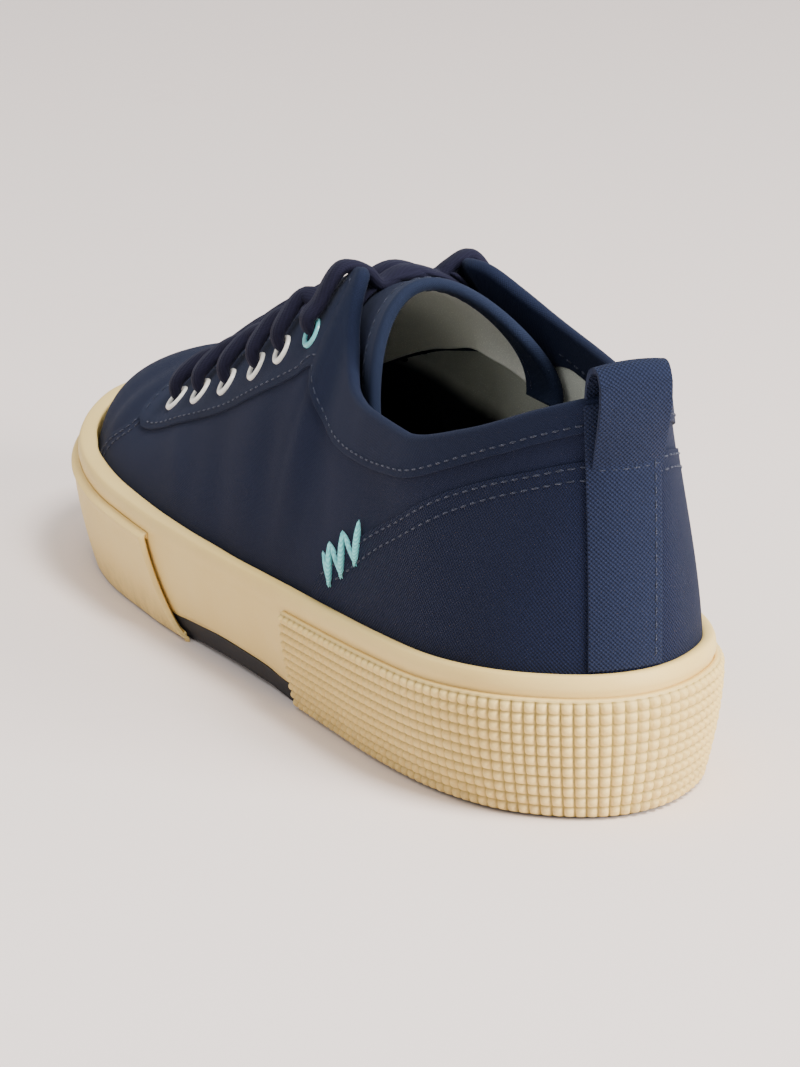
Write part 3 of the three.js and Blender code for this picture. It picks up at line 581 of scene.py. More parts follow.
def makeEnamel(name, color):
    material, tree, shader = startMaterial(name, 0.3, specular=0.5, coat=0.3)
    speck = mottleOf(tree, Fine=1500)["Speck"]
    tree.links.new(shadeBy(tree, (*color, 1), speck, (0.88, 1.06)), shader.inputs["Base Color"])
    tree.links.new(remap(tree, speck, wanted=(0.24, 0.42)), shader.inputs["Roughness"])
    return material


def makeThread(name, color, light):
    material, tree, shader = startMaterial(name, 0.7, 0.3, (0.7, 0.75, 0.95), 0.3)
    waves = {"Vector": objectPlace(tree), "Scale": 900.0, "Distortion": 2.0}
    twist = node(tree, "TexWave", waves, bands_direction="DIAGONAL").outputs[1]
    tree.links.new(blend(tree, twist, (*color, 1), (*light, 1)), shader.inputs["Base Color"])
    pressInto(tree, shader, twist, 0.00008)
    return material


finishes = {
    "quarter": makeCloth("fineCanvas", (0.0036, 0.0058, 0.0182), (0.0063, 0.0098, 0.0292), 0.0003, 0.00009),
    "coarse": makeCloth("coarseCanvas", (0.0008, 0.0018, 0.0072), (0.006, 0.0102, 0.034), 0.00048, 0.0003),
    "facing": makeCloth(
        "facingCanvas", (0.0054, 0.0083, 0.0224), (0.0105, 0.0154, 0.0375), 0.00034, 0.00012),
    "band": makeCloth("bandCanvas", (0.003, 0.0056, 0.018), (0.0057, 0.0098, 0.0288), 0.0003, 0.00008),
    "edge": makeCloth("edgeCanvas", (0.0062, 0.0102, 0.0268), (0.0107, 0.0168, 0.0392), 0.0003, 0.00008),
    # the grey lining, with painted shade below 50 to 57 mm standing for the shadow deep inside the shoe
    "lining": makeCloth(
        "greyLining", (0.55, 0.57, 0.5), (0.66, 0.68, 0.6), 0.0003, 0.00005, patch=0.08,
        shadeBelow=(0.05, 0.057)),
    # the tongue's lining: a lighter copy of the grey lining as painted light, with painted shade below 44 to
    # 50 mm
    "leafPaintedLight": makeCloth(
        "tongueLeafPaintedLight", (0.8, 0.8, 0.72), (0.86, 0.86, 0.78), 0.0003, 0.00005, patch=0.08,
        shadeBelow=(0.044, 0.05)),
    "sock": makeCloth(
        "darkSock", (0.004, 0.004, 0.005), (0.009, 0.009, 0.009), 0.0003, 0.0001, sheen=0.0, patch=0.15),
    "webbing": makeCloth(
        "navyWebbing", (0.0009, 0.0019, 0.0072), (0.0112, 0.017, 0.0445), 0.00051, 0.0003, patch=0.12),
    "lace": makeRibbed(
        "navyLace", (0.0028, 0.0027, 0.0095), (0.008, 0.0078, 0.022), 0.0009, 0.0001, sheen=0.06),
    "thread": makeThread("navyThread", (0.004, 0.0068, 0.018), (0.01, 0.0156, 0.037)),
    "tealThread": makeThread("tealThread", (0.12, 0.55, 0.57), (0.28, 0.8, 0.8)),
    "ivory": makeEnamel("ivoryEnamel", (0.86, 0.85, 0.78)),
    "teal": makeEnamel("tealEnamel", (0.16, 0.56, 0.58)),
    "cream": makeRubber("creamRubber", (0.74, 0.525, 0.17), (0.8, 0.59, 0.22), (0.42, 0.31, 0.14)),
    # cream rubber with painted shade in the grooves between the studs
    "studs": makeRubber(
        "studRubber", (0.74, 0.525, 0.17), (0.8, 0.59, 0.22), (0.42, 0.31, 0.14), shadedGrooves=True),
    "dark": makeRubber(
        "darkRubber", (0.0035, 0.0035, 0.007), (0.008, 0.008, 0.012), (0.03, 0.028, 0.026), 0.65),
}
print("materials made")


# Mesh helpers.
def addPiece(name, bm, material, replaced=()):
    mesh = bpy.data.meshes.new(name)
    bm.to_mesh(mesh)
    bm.free()
    mesh.materials.append(material)
    mesh.polygons.foreach_set("use_smooth", [True] * len(mesh.polygons))
    piece = bpy.data.objects.new(name, mesh)
    bpy.context.scene.collection.objects.link(piece)
    if replaced:
        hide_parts(*replaced)
    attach(piece, "root")
    return piece


def addSheet(name, bm, finish, replaced, thickness, edge=0.0):
    # a piece thickened inwards; with edge, its sharp corners are softened too
    piece = addPiece(name, bm, finishes[finish], [replaced])
    wall = piece.modifiers.new("wall", "SOLIDIFY")
    wall.thickness = thickness * mm
    wall.offset = -1
    if edge:
        fold = piece.modifiers.new("fold", "BEVEL")
        fold.width = edge * mm
        fold.segments = 2
        fold.limit_method = "ANGLE"
        fold.angle_limit = math.radians(50)


def addSeam(name, bm, replaced="upper"):
    addPiece(name, bm, finishes["thread"], [replaced])


def mergeInto(bm, part):
    mesh = bpy.data.meshes.new("part")
    part.to_mesh(mesh)
    part.free()
    bm.from_mesh(mesh)
    bpy.data.meshes.remove(mesh)


def grid(columns, rows, placing, weave=None, weld=False, away=None, tell=None):
    # a sheet of columns by rows faces, each corner put where placing(u, v) says, u and v from 0 to 1
    bm = bmesh.new()
    layer = bm.loops.layers.uv.new("weave")
    bmesh.ops.create_grid(bm, x_segments=columns, y_segments=rows, size=0.5, calc_uvs=False)
    flat = np.array([vert.co[:2] for vert in bm.verts]) + 0.5
    u, v = np.clip(flat[:, 0], 0, 1), np.clip(flat[:, 1], 0, 1)
    points = placing(u, v)
    threads = weave(u, v) if weave else flatThreads(placing, u, v)
    if tell:
        shade = bm.verts.layers.float.new("told")
        for vert, value in zip(bm.verts, tell(u, v)):
            vert[shade] = value
    for vert, point in zip(bm.verts, points * mm):
        vert.co = point
    for face in bm.faces:
        for loop in face.loops:
            loop[layer].uv = threads[loop.vert.index] * mm
    if weld:
        bmesh.ops.remove_doubles(bm, verts=bm.verts, dist=0.00001)
    if away is not None:
        turnAway(bm, away)
    return bm


def flatThreads(placing, u, v):
    line = np.linspace(0, 1, 101)
    half = 0 * line + 0.5
    along, across = runOf(placing(line, half)), runOf(placing(half, line))
    return np.stack([np.interp(u, line, along), np.interp(v, line, across)], -1)


def turnAway(bm, centre):
    # faces look away from a line along the shoe at this height, or towards it below zero
    bm.normal_update()
    middle = [Vector((0, face.calc_center_median().y, abs(centre) * mm)) for face in bm.faces]
    facing = sum(face.calc_area() * face.normal.dot((face.calc_center_median() - low).normalized())
                 for face, low in zip(bm.faces, middle))
    if facing * centre < 0:
        bmesh.ops.reverse_faces(bm, faces=bm.faces)


def closeEnds(bm):
    edges = [edge for edge in bm.edges if edge.is_boundary]
    if edges:
        bmesh.ops.holes_fill(bm, edges=edges, sides=0)
    bmesh.ops.recalc_face_normals(bm, faces=bm.faces)


def curveThrough(points, count):
    # the first three columns are the place; any others follow along
    points = np.array(points, float)
    keys = np.r_[0, np.cumsum(np.linalg.norm(np.diff(points[:, :3], axis=0), axis=1) ** 0.75)]
    at = np.linspace(0, keys[-1], count)
    tangents = np.gradient(points, keys, axis=0)
    i = np.clip(np.searchsorted(keys, at, side="right") - 1, 0, len(keys) - 2)
    width = (keys[i + 1] - keys[i])[:, None]
    f = (at - keys[i])[:, None] / width
    g = 1 - f
    ends = points[i] * (1 + 2 * f) * g * g + points[i + 1] * f * f * (1 + 2 * g)
    return ends + width * f * g * (tangents[i] * g - tangents[i + 1] * f)


def alongPath(path, x):
    steps = np.linspace(0, 1, len(path))
    return np.stack([np.interp(x, steps, path[:, k]) for k in range(3)], -1)


def stitchRow(bm, points, normals, pitch=2.9, length=2.1, width=0.44, lift=0.05):
    # a row of thread ends, one sunk capsule for each stitch
    lengths = runOf(points)

    def onLine(at, values):
        return Vector([np.interp(at, lengths, values[:, i]) for i in range(3)])

    count = max(int(lengths[-1] / pitch), 1)
    for k in range(count):
        at = (k + 0.5) * lengths[-1] / count
        centre, ahead, behind = (onLine(at + shift, points) for shift in (0, 0.6, -0.6))
        normal = onLine(at, normals).normalized()
        forward = (ahead - behind).normalized()
        side = normal.cross(forward).normalized()
        normal = forward.cross(side)
        turn = Matrix((forward, side, normal)).transposed().to_4x4()
        size = Matrix.Diagonal((length / 2 * mm, width / 2 * mm, width / 2 * mm, 1))
        place4 = Matrix.Translation((centre + normal * lift) * mm)
        bmesh.ops.create_uvsphere(bm, u_segments=8, v_segments=6, radius=1, matrix=place4 @ turn @ size)


def seamOnUpper(bm, lap, v, proud, **stitch):
    stitchRow(bm, upperAt(lap, v, proud), upperNormal(lap, v), **stitch)


def seamBelowEdge(bm, lap, width, proud):
    seamOnUpper(bm, lap, rowFromEdge(lap, width), proud)


def mixed(a, b, f):
    return a + (b - a) * f


def byLap(*pairs):
    # a value by the distance round from the heel, the same on both sides
    curve = smooth([lap for lap, _ in pairs], [value for _, value in pairs])
    return lambda lap: curve(np.abs(lap))


def mirrorLap(lap, side):
    return lap if side > 0 else -lap


# Canvas shell, lining and panels of the upper.
shellSettings = {"columns": 420, "rows": 64, "sink": -0.85, "thickness": 0.6,
                 "liningSink": -1.4, "liningThickness": 0.45, "vampTop": 58, "vampSpread": 0.75}


def makeShell(settings):
    def outer(u, v):
        return upperAt(u * fullTurn, v, settings["sink"])

    def vampThreads(u, v):  # threads over the toe lie along and across the shoe
        points = basePoint(u * fullTurn, v)
        fall = (settings["vampTop"] - points[..., 2:]) * settings["vampSpread"]
        return points[..., :2] + outward(u * fullTurn)[..., :2] * fall

    bm = grid(settings["columns"], settings["rows"], outer, vampThreads, weld=True, away=40)
    addSheet("canvasShell", bm, "quarter", "upper", settings["thickness"])

    def inner(u, v):
        return upperAt(u * fullTurn, v, settings["liningSink"])

    def liningThreads(u, v):
        return weaveOf(u * fullTurn, v)

    bm = grid(settings["columns"] // 2, settings["rows"] // 2, inner, liningThreads, weld=True, away=40)
    addSheet("liningSheet", bm, "lining", "upper", settings["liningThickness"])


makeShell(shellSettings)

quarterSettings = {"columns": 360, "rows": 56, "proud": -0.2, "thickness": 0.65}
toeSeam = smooth([0, 0.352, 0.52, 0.62, 0.715, 0.8, 1], [2.36, 2.308, 2.25, 2.235, 2.243, 2.26, 2.29])


def makeQuarters(settings):
    def lapAt(u, v):
        return mixed(-toeSeam(v), toeSeam(v), u)

    def placing(u, v):
        return upperAt(lapAt(u, v), mixed(shoe["panelFoot"], 0.99, v), settings["proud"])

    bm = grid(settings["columns"], settings["rows"], placing, lambda u, v: weaveOf(lapAt(u, v), v), away=40)
    addSheet("quarters", bm, "quarter", "upper", settings["thickness"], 0.25)
    seam = bmesh.new()
    line = np.linspace(0.2, 0.86, 90)
    for side in (1, -1):
        for back in (0.022, 0.05):
            seamOnUpper(seam, mirrorLap(toeSeam(line) - back, side), line, settings["proud"], pitch=2.6)
    addSeam("toeSeamStitches", seam)


makeQuarters(quarterSettings)

counterSettings = {"columns": 260, "rows": 40, "proud": 0.25, "thickness": 0.6, "reach": 1.26}
counterTop = byLap(
    (0, 0.835), (0.275, 0.83), (0.528, 0.815), (0.711, 0.797), (0.86, 0.735), (1.034, 0.56), (1.18, 0.37),
    (1.235, 0.22), (1.262, 0.04))
upperStitch = byLap(
    (0, 0.812), (0.275, 0.812), (0.528, 0.797), (0.711, 0.777), (0.86, 0.71), (1.034, 0.532), (1.2, 0.3))
lowerStitch = byLap(
    (0, 0.77), (0.292, 0.77), (0.519, 0.753), (0.702, 0.723), (0.838, 0.652), (0.969, 0.537), (1.15, 0.3))


def makeCounter(settings):
    def onFace(u, v):
        lap = mixed(-settings["reach"], settings["reach"], u)
        return lap, mixed(shoe["panelFoot"], counterTop(lap), v)

    def placing(u, v):
        return upperAt(*onFace(u, v), settings["proud"])

    def threads(u, v):
        return weaveOf(*onFace(u, v))

    bm = grid(settings["columns"], settings["rows"], placing, threads, away=40)
    addSheet("counter", bm, "coarse", "upper", settings["thickness"], 0.25)
    seam = bmesh.new()
    for side in (1, -1):
        for curve, last in ((upperStitch, 1.21), (lowerStitch, 1.15)):
            lap = np.linspace(0.16, last, 160)
            seamOnUpper(seam, mirrorLap(lap, side), curve(lap), settings["proud"], pitch=2.9)
    addSeam("counterStitches", seam)


makeCounter(counterSettings)

facingSettings = {"columns": 190, "rows": 40, "inner": 8.0, "outside": 0.4, "inside": -2.1, "rear": 1.428,
                  "frontWidth": 20.6}
facingRow = byLap(
    (1.4, 0.722), (1.428, 0.718), (1.5, 0.697), (1.566, 0.694), (1.65, 0.688), (1.75, 0.677),
    (1.85, 0.658), (1.95, 0.632), (2.05, 0.603), (2.12, 0.585), (2.2, 0.575), (2.33, 0.57))
facingFront = smooth(  # the lap of the front edge, by millimetres below the top line
    [0, 5, 10, 14, 16.5, 18.5, 19.7, 20.6], [2.315, 2.29, 2.27, 2.255, 2.24, 2.218, 2.19, 2.15])


def makeFacing(side, settings):
    def lapAt(u, share):
        return mixed(facingFront(share * settings["frontWidth"]), settings["rear"], u)

    def widthAt(lap):
        return widthAtRow(lap, facingRow(lap))

    def placing(u, p):
        lap = lapAt(u, 1 - wrapShares(p)[0])
        return overEdge(mirrorLap(lap, side), p, widthAt(lap), settings["inner"], settings["outside"],
                        settings["inside"])

    name = "facingLateral" if side > 0 else "facingMedial"
    bm = grid(settings["columns"], settings["rows"], placing, away=30)
    addSheet(name, bm, "facing", "upper", 0.6, 0.2)
    seam = bmesh.new()
    lower = mixed(2.14, settings["rear"], np.linspace(0, 1, 200))
    upper = np.linspace(2.27, settings["rear"], 200)
    down = np.linspace(2.4, 18.6, 60)
    for lap, width in ((lower, widthAt(lower) - 1.7), (facingFront(down) - 0.022, down), (upper, 2.4)):
        seamBelowEdge(seam, mirrorLap(lap, side), width, settings["outside"])
    addSeam(name + "Stitches", seam)


makeFacing(1, facingSettings)
makeFacing(-1, facingSettings)

bandSettings = {"columns": 300, "rows": 36, "inner": 9.0, "outside": 0.45, "inside": -2.15, "end": 1.44}
bandWidth = byLap(
    (0, 5.7), (0.4, 5.8), (0.66, 5.8), (0.8, 6.7), (0.89, 7.9), (0.97, 9.2), (1.08, 10.8), (1.17, 11.6),
    (1.3, 13.6), (1.38, 14.2), (1.44, 13.8))
tabThickness = byLap((0, 0), (1.2, 0), (1.34, 0.8), (1.44, 0.8))


def makeBand(settings):
    def placing(u, p):
        lap = mixed(-settings["end"], settings["end"], u)
        thick = tabThickness(lap)
        return overEdge(lap, p, bandWidth(lap), settings["inner"] + thick * 8,
                        settings["outside"] + 0.15 * thick, settings["inside"] - thick)

    bm = grid(settings["columns"], settings["rows"], placing, away=30)
    addSheet("collarBand", bm, "band", "upper", 0.6, 0.2)
    seam = bmesh.new()
    lap = np.linspace(0.2, settings["end"] - 0.004, 260)
    for side in (1, -1):
        turned = mirrorLap(lap, side)
        seamBelowEdge(seam, turned, bandWidth(lap) - 1.7, settings["outside"])
        inside = rowFromEdge(turned, 7.0 + 0 * lap)
        stitchRow(seam, upperAt(turned, inside, settings["inside"]), -upperNormal(turned, inside))
    addSeam("collarStitches", seam)


makeBand(bandSettings)

throatSettings = {"columns": 90, "rows": 24, "width": 5.5, "outside": -0.1, "inside": -2.0, "start": 2.3}


def makeThroatFold(settings):
    start = settings["start"]

    def placing(u, p):
        return overEdge(mixed(start, fullTurn - start, u), p, settings["width"], settings["width"],
                        settings["outside"], settings["inside"])

    bm = grid(settings["columns"], settings["rows"], placing, away=30)
    addSheet("throatFold", bm, "quarter", "upper", 0.5, 0.2)
    seam = bmesh.new()
    lap = np.linspace(start + 0.03, fullTurn - start - 0.03, 120)
    seamBelowEdge(seam, lap, 2.2, settings["outside"])
    addSeam("throatStitches", seam)


makeThroatFold(throatSettings)
print("upper made")

# Rubber parts and the sock.
foxingSettings = {"columns": 420, "rows": 40, "groove": 4.8, "grooveDepth": 0.4, "bead": 0.4, "crown": 0.6}
capped = byLap((0, 1), (1.15, 1), (1.5, 0.25), (1.72, 0.25), (2.0, 1), (3.2, 1))


def lapFromHeel(lap):
    return math.pi - np.abs(math.pi - np.mod(lap, fullTurn))


def makeFoxing(settings):
    def placing(u, v):
        lap = u * fullTurn
        ground, rim = groundHeight(stationOf(lap)), rimAboveGround(lap)
        strength = capped(lapFromHeel(lap))
        low, top = 5.3, rim - settings["crown"]
        up = mixed(low, top, np.clip(v / 0.62, 0, 1))
        below = rim - up
        bead = settings["bead"] * np.sin(np.clip(below / settings["groove"], 0, 1) * math.pi) ** 0.7
        cut = settings["grooveDepth"] * np.exp(-((below - settings["groove"]) / 0.45) ** 2)
        outer = sidewallPoint(lap, up, bead * (0.4 + 0.6 * strength) - cut * strength)
        seat = seatDepth(stationOf(lap))
        goingDown = mixed(top, low, np.clip((v - 0.82) / 0.18, 0, 1))
        fromUpper = upperAt(lap, rowAtHeight(lap, ground + np.maximum(goingDown, seat + 0.4)), 0.1)
        fromCore = sidewallPoint(lap, goingDown, -2.2)
        inner = np.where((goingDown > seat + 0.4)[..., None], fromUpper, fromCore)
        innerTop = upperAt(lap, rowAtHeight(lap, ground + top), 0.1)
        outerTop = sidewallPoint(lap, top)
        angle = (np.clip((v - 0.62) / 0.2, 0, 1) * math.pi)[..., None]
        middle, half = (outerTop + innerTop) / 2, (outerTop - innerTop) / 2
        crown = middle + half * np.cos(angle) + settings["crown"] * upward * np.sin(angle)
        return np.where((v <= 0.62)[..., None], outer, np.where((v >= 0.82)[..., None], inner, crown))

    bm = grid(settings["columns"], settings["rows"], placing, weld=True, away=15)
    closeEnds(bm)
    addPiece("foxingTape", bm, finishes["cream"], ["foxing"])


makeFoxing(foxingSettings)

rimLength = runOf(sidewallPoint(lapGrid, 18 + 0 * lapGrid))


def lengthAt(lap):
    return roundLength(lap, rimLength)


def wrapEnds(settings):  # laps of a wrap's end at the floor and at the top
    return float(lapOf(settings["low"])), float(lapOf(settings["high"]))


def wrapTop(lap):
    return rimAboveGround(lap) - shoe["wrapBelowRim"]


heelWrapSettings = {"across": 88, "up": 11, "samples": 6, "base": 0.75, "rise": 1.3, "low": 104,
                    "high": 101.5, "plain": 0.3, "thickness": 1.2, "ladder": 11.5}


def evenLap(lengthFraction, first, last):
    lengths = mixed(lengthAt(first), lengthAt(last), lengthFraction)
    turns = np.linspace(-fullTurn, fullTurn, 1441)
    return np.interp(lengths, lengthAt(turns), turns)


def makeHeelWrap(settings):
    lowLap, highLap = wrapEnds(settings)
    across, up, samples = settings["across"], settings["up"], settings["samples"]

    def studs(u, v):
        cellU, cellV = u * across, v * (up + settings["plain"])
        a = np.abs(2 * (cellU - np.floor(cellU + 1e-9)) - 1)
        b = np.abs(2 * (cellV - np.floor(cellV + 1e-9)) - 1)
        plain = np.clip((cellV - up) / 0.12, 0, 1)
        return mixed((1 - a ** 3) * (0.1 + 0.9 * (1 - b ** 3)), 0.8, plain)

    def placing(u, v):
        end = mixed(lowLap, highLap, np.floor(v * settings["ladder"]) / settings["ladder"])
        lap = evenLap(u, -end, end)
        top = wrapTop(lap)
        level = mixed(0.5, top, v)
        flush = np.clip((top - level) / 0.9, 0, 1) ** 0.5
        proud = settings["base"] + settings["rise"] * studs(u, v)
        return sidewallPoint(lap, level, mixed(0.05, proud, flush))

    # the stud height is told to the mesh, where it sets the painted shade in the grooves
    bm = grid(across * samples, int((up + 0.34) * samples), placing, away=15, tell=studs)
    addSheet("heelWrap", bm, "studs", "heel_bumper", settings["thickness"])


makeHeelWrap(heelWrapSettings)

toeWrapSettings = {"columns": 420, "rows": 44, "low": 160, "high": 175, "proud": 1.6, "bead": 0.55,
                   "beadWidth": 2.8, "thickness": 1.5}


def makeToeWrap(settings):
    lowLap, highLap = wrapEnds(settings)

    def placing(u, v):
        start = mixed(lowLap, highLap, v ** 0.55)
        lap = evenLap(u, start, fullTurn - start)
        top = wrapTop(lap)
        level = mixed(0.6, top, v)
        length = lengthAt(lap)
        fromEnd = np.minimum(length - lengthAt(start), lengthAt(fullTurn - start) - length)
        near = np.minimum(fromEnd, top - level)
        bead = settings["bead"] * np.sin(np.clip(near / settings["beadWidth"], 0, 1) * math.pi) ** 0.8
        flush = np.clip((top - level) / 1.0, 0, 1) ** 0.5
        edge = np.clip(fromEnd / 0.6, 0, 1) ** 0.5 * 0.5 - 0.5
        return sidewallPoint(lap, level, mixed(0.05, settings["proud"] + edge + bead, flush))

    bm = grid(settings["columns"], settings["rows"], placing, away=15)
    addSheet("toeWrap", bm, "cream", "toe_bumper", settings["thickness"], 0.2)


makeToeWrap(toeWrapSettings)


def makeSock():
    inset = featherInset + 2.2

    def placing(u, v):
        lap = u * math.pi
        near, far = edgePoint(lap, inset, 0 * lap), edgePoint(fullTurn - lap, inset, 0 * lap)
        points = mixed(near, far, v[..., None])
        s = stationAt(points)
        points[..., 2] = groundHeight(s) + seatDepth(s) + 3.4
        return points

    bm = grid(120, 24, placing, away=-60)
    addSheet("sockLiner", bm, "sock", "insole", 3)


makeSock()
print("rubber made")

# The tongue.
crownAt, halfAt, fallAt, wrapAt, shiftAt, skewAt = (
    byStation(tongueRows, column) for column in ("z", "half", "fall", "wrap", "shift", "skew"))


def tonguePoint(s, angle, under):
    s, angle, under = np.broadcast_arrays(np.asarray(s, float), angle, under)
    tilt = np.arctan(crownAt(s + 0.5) - crownAt(s - 0.5))
    down = under + (fallAt(s) - under) * (1 - np.cos(angle)) - skewAt(s) * np.sin(2 * angle)
    out = shiftAt(s) + (halfAt(s) - under) * np.sin(angle)
    return place(s + down * np.sin(tilt), out, crownAt(s) - down * np.cos(tilt))


tongueSettings = {"columns": 90, "rows": 110, "first": 96.3, "last": 226, "hem": 8.5, "roll": 1.4,
                  "linedTo": 190}


def makeTongue(settings):
    first, hemEnd, roll = settings["first"], settings["first"] + settings["hem"], settings["roll"]

    def body(u, v):
        s = mixed(first + 2, settings["last"], v)
        angle = np.radians(wrapAt(s)) * mixed(-1, 1, u)
        ripple = 0.35 * np.sin(s / 7.5 + 2.2 * u) * np.sin(u * 5 + s / 31)
        return tonguePoint(s, angle, 0.5 + ripple)

    bm = grid(settings["columns"], settings["rows"], body, away=40)
    addSheet("tongueCloth", bm, "quarter", "tongue", 1.0)

    def lining(u, v):
        s = mixed(first + 4, settings["linedTo"], v)
        angle = np.radians(wrapAt(s)) * mixed(-0.96, 0.96, u)
        fold = 0.9 * np.sin(s / 4.6 + 4.5 * u + 1) * np.exp(-((s - 118) / 16) ** 2)
        fold = fold + 0.5 * np.sin(s / 9 - 5 * u)
        return tonguePoint(s, angle, 2.3 + fold * np.clip((s - 106) / 9, 0, 1))

    # the lining takes the lighter copy of the grey lining: painted light above, painted shade below
    bm = grid(settings["columns"], settings["rows"], lining, away=40)
    addSheet("tongueLining", bm, "leafPaintedLight", "tongue", 0.5)

    def hem(u, p):
        angle = np.radians(wrapAt(first)) * mixed(-1.02, 1.02, u)
        climb, turn, descent = wrapShares(p)
        outer, inner = mixed(hemEnd, first + roll, climb), mixed(first + roll, hemEnd, descent)
        s = wrapParts(p, outer, first + roll - roll * np.sin(turn), inner)
        return tonguePoint(s, angle, roll - 1.55 * np.cos(turn))

    bm = grid(settings["columns"], 30, hem, away=40)
    addSheet("tongueHem", bm, "edge", "tongue", 0.5)
    seam = bmesh.new()
    sweep = np.radians(wrapAt(first)) * np.linspace(-0.97, 0.97, 90)
    for depth, sign in ((-0.1, 1), (2.9, -1)):
        points, deeper = (tonguePoint(hemEnd - 1.8, sweep, depth + more) for more in (0, 1))
        stitchRow(seam, points, unit(points - deeper) * sign)
    addSeam("tongueStitches", seam, "tongue")


makeTongue(tongueSettings)

# Eyelets and lace.
eyeletSettings = {"outer": 3.7, "hole": 2.25, "proud": 0.75, "barrel": 1.5, "wall": 0.35, "sunk": -0.25}
eyeletSeats = table(
    "lateral medial inset",
    (197.5, 203, 10.6), (182.4, 186.5, 10.2), (166.5, 169, 10.2), (149, 151.8, 10.5), (136.5, 135.5, 10.5),
    (122.6, 120.5, 11.6))


def eyeletSeat(side, index):
    row = eyeletSeats[index]
    laps = np.linspace(1.42, 2.25, 500) * side + (0 if side > 0 else fullTurn)
    rows = rowFromEdge(laps, row["inset"])
    stations = stationAt(basePoint(laps, rows))
    k = int(np.argmin(np.abs(stations - row["lateral" if side > 0 else "medial"])))
    lap, v = laps[k], rows[k]
    return dict(lap=lap, v=v, point=upperAt(lap, v, facingSettings["outside"]), normal=upperNormal(lap, v))


def makeEyelet(seat, settings):
    # a rolled flange on a short barrel, spun about the hole
    bm = bmesh.new()
    hole, outer, barrel, sunk = (settings[key] for key in ("hole", "outer", "barrel", "sunk"))
    roll, wall = (outer - hole) / 2, hole + settings["wall"]
    flange = [(hole + roll - roll * math.cos(a), settings["proud"] * math.sin(a) ** 0.8)
              for a in np.linspace(0, math.pi, 9)]
    profile = [(hole, -barrel), *flange, (outer, sunk), (wall, sunk), (wall, -barrel)]
    verts = [bm.verts.new((radius * mm, 0, z * mm)) for radius, z in profile]
    edges = [bm.edges.new(pair) for pair in zip(verts, verts[1:] + verts[:1])]
    bmesh.ops.spin(bm, geom=verts + edges, cent=(0, 0, 0), axis=(0, 0, 1), angle=fullTurn, steps=28,
                   use_merge=True)
    bmesh.ops.remove_doubles(bm, verts=bm.verts, dist=0.00001)
    bmesh.ops.recalc_face_normals(bm, faces=bm.faces)
    stand = Vector(seat["normal"]).to_track_quat("Z", "Y").to_matrix().to_4x4()
    bm.transform(Matrix.Translation(seat["point"] * mm) @ stand)
    return bm


def makeEyelets(settings):
    for name, finish, slotName, indices in (("ivoryEyelets", "ivory", "ivory_enamel", range(5)),
                                            ("tealEyelets", "teal", "teal_enamel", range(5, 6))):
        bm = bmesh.new()
        replaced = []
        for side, label in ((1, "lateral"), (-1, "medial")):
            for index in indices:
                replaced.append(f"eyelet_{label}_{index + 1}")
                mergeInto(bm, makeEyelet(eyeletSeat(side, index), settings))
        addPiece(name, bm, finishes[finish], replaced)


makeEyelets(eyeletSettings)

laceSettings = {"width": 5.8, "thick": 3.5, "columns": 24, "rows": 64}


def lacePath(side, index):
    start, end = eyeletSeat(side, index), eyeletSeat(-side, min(index + 1, 5))
    last = index == 5
    up = upward
    across = np.array([-side, 0, 0])
    back = np.array([0, 1.2, 0]) * (0 if last else 1)
    above = 2.1 if side > 0 else 1.5
    edgeLaps = start["lap"] - (0.02 if last else 0), end["lap"]
    edges = [basePoint(lap, 1.0) for lap in edgeLaps]
    normals = [upperNormal(lap, 1.0) for lap in edgeLaps]
    s1, s2 = stationAt(start["point"]), stationAt(end["point"])
    toEdge = unit(edges[0] - start["point"])
    lip = start["normal"]
    over = unit(normals[0] + up)
    path = [start["point"] + lip * rise + toEdge * reach
            for rise, reach in ((-0.9, 0.2), (1.3, 0.7), (3.0, 2.7), (2.6 if last else 3.7, 6.2))]
    path[3] = path[3] + back * 0.3
    path.append(edges[0] + over * (2.3 if last else 3.5) + back)
    lifts = [toEdge * -0.6 + lip, lip - toEdge * 0.3, lip, lip, over]
    if last:
        path += [edges[0] + across * 4.2 + up * 0.2, edges[0] + across * 7 - up * (2.8 if side > 0 else 1.6)]
        path += [tonguePoint(s1 - (side + 1), side * angle, -above) for angle in (0.05, -0.45, -0.8)]
        return path, lifts + [over + across, up + across * 0.6, up, up, up]
    for f, lift in ((0.3, 1.2), (0.5, 1.4 if side > 0 else 0.3), (0.68, 0.3)):
        path.append(tonguePoint(mixed(s1, s2, f), side * mixed(0.75, -0.75, (f - 0.3) / 0.4), -above - lift))
    path += [mixed(*edges, 0.93) - unit(normals[1] + up) * 2.6, end["point"] - end["normal"] * 3.6]
    return path, lifts + [up, up, up, unit(normals[1] + up), end["normal"]]


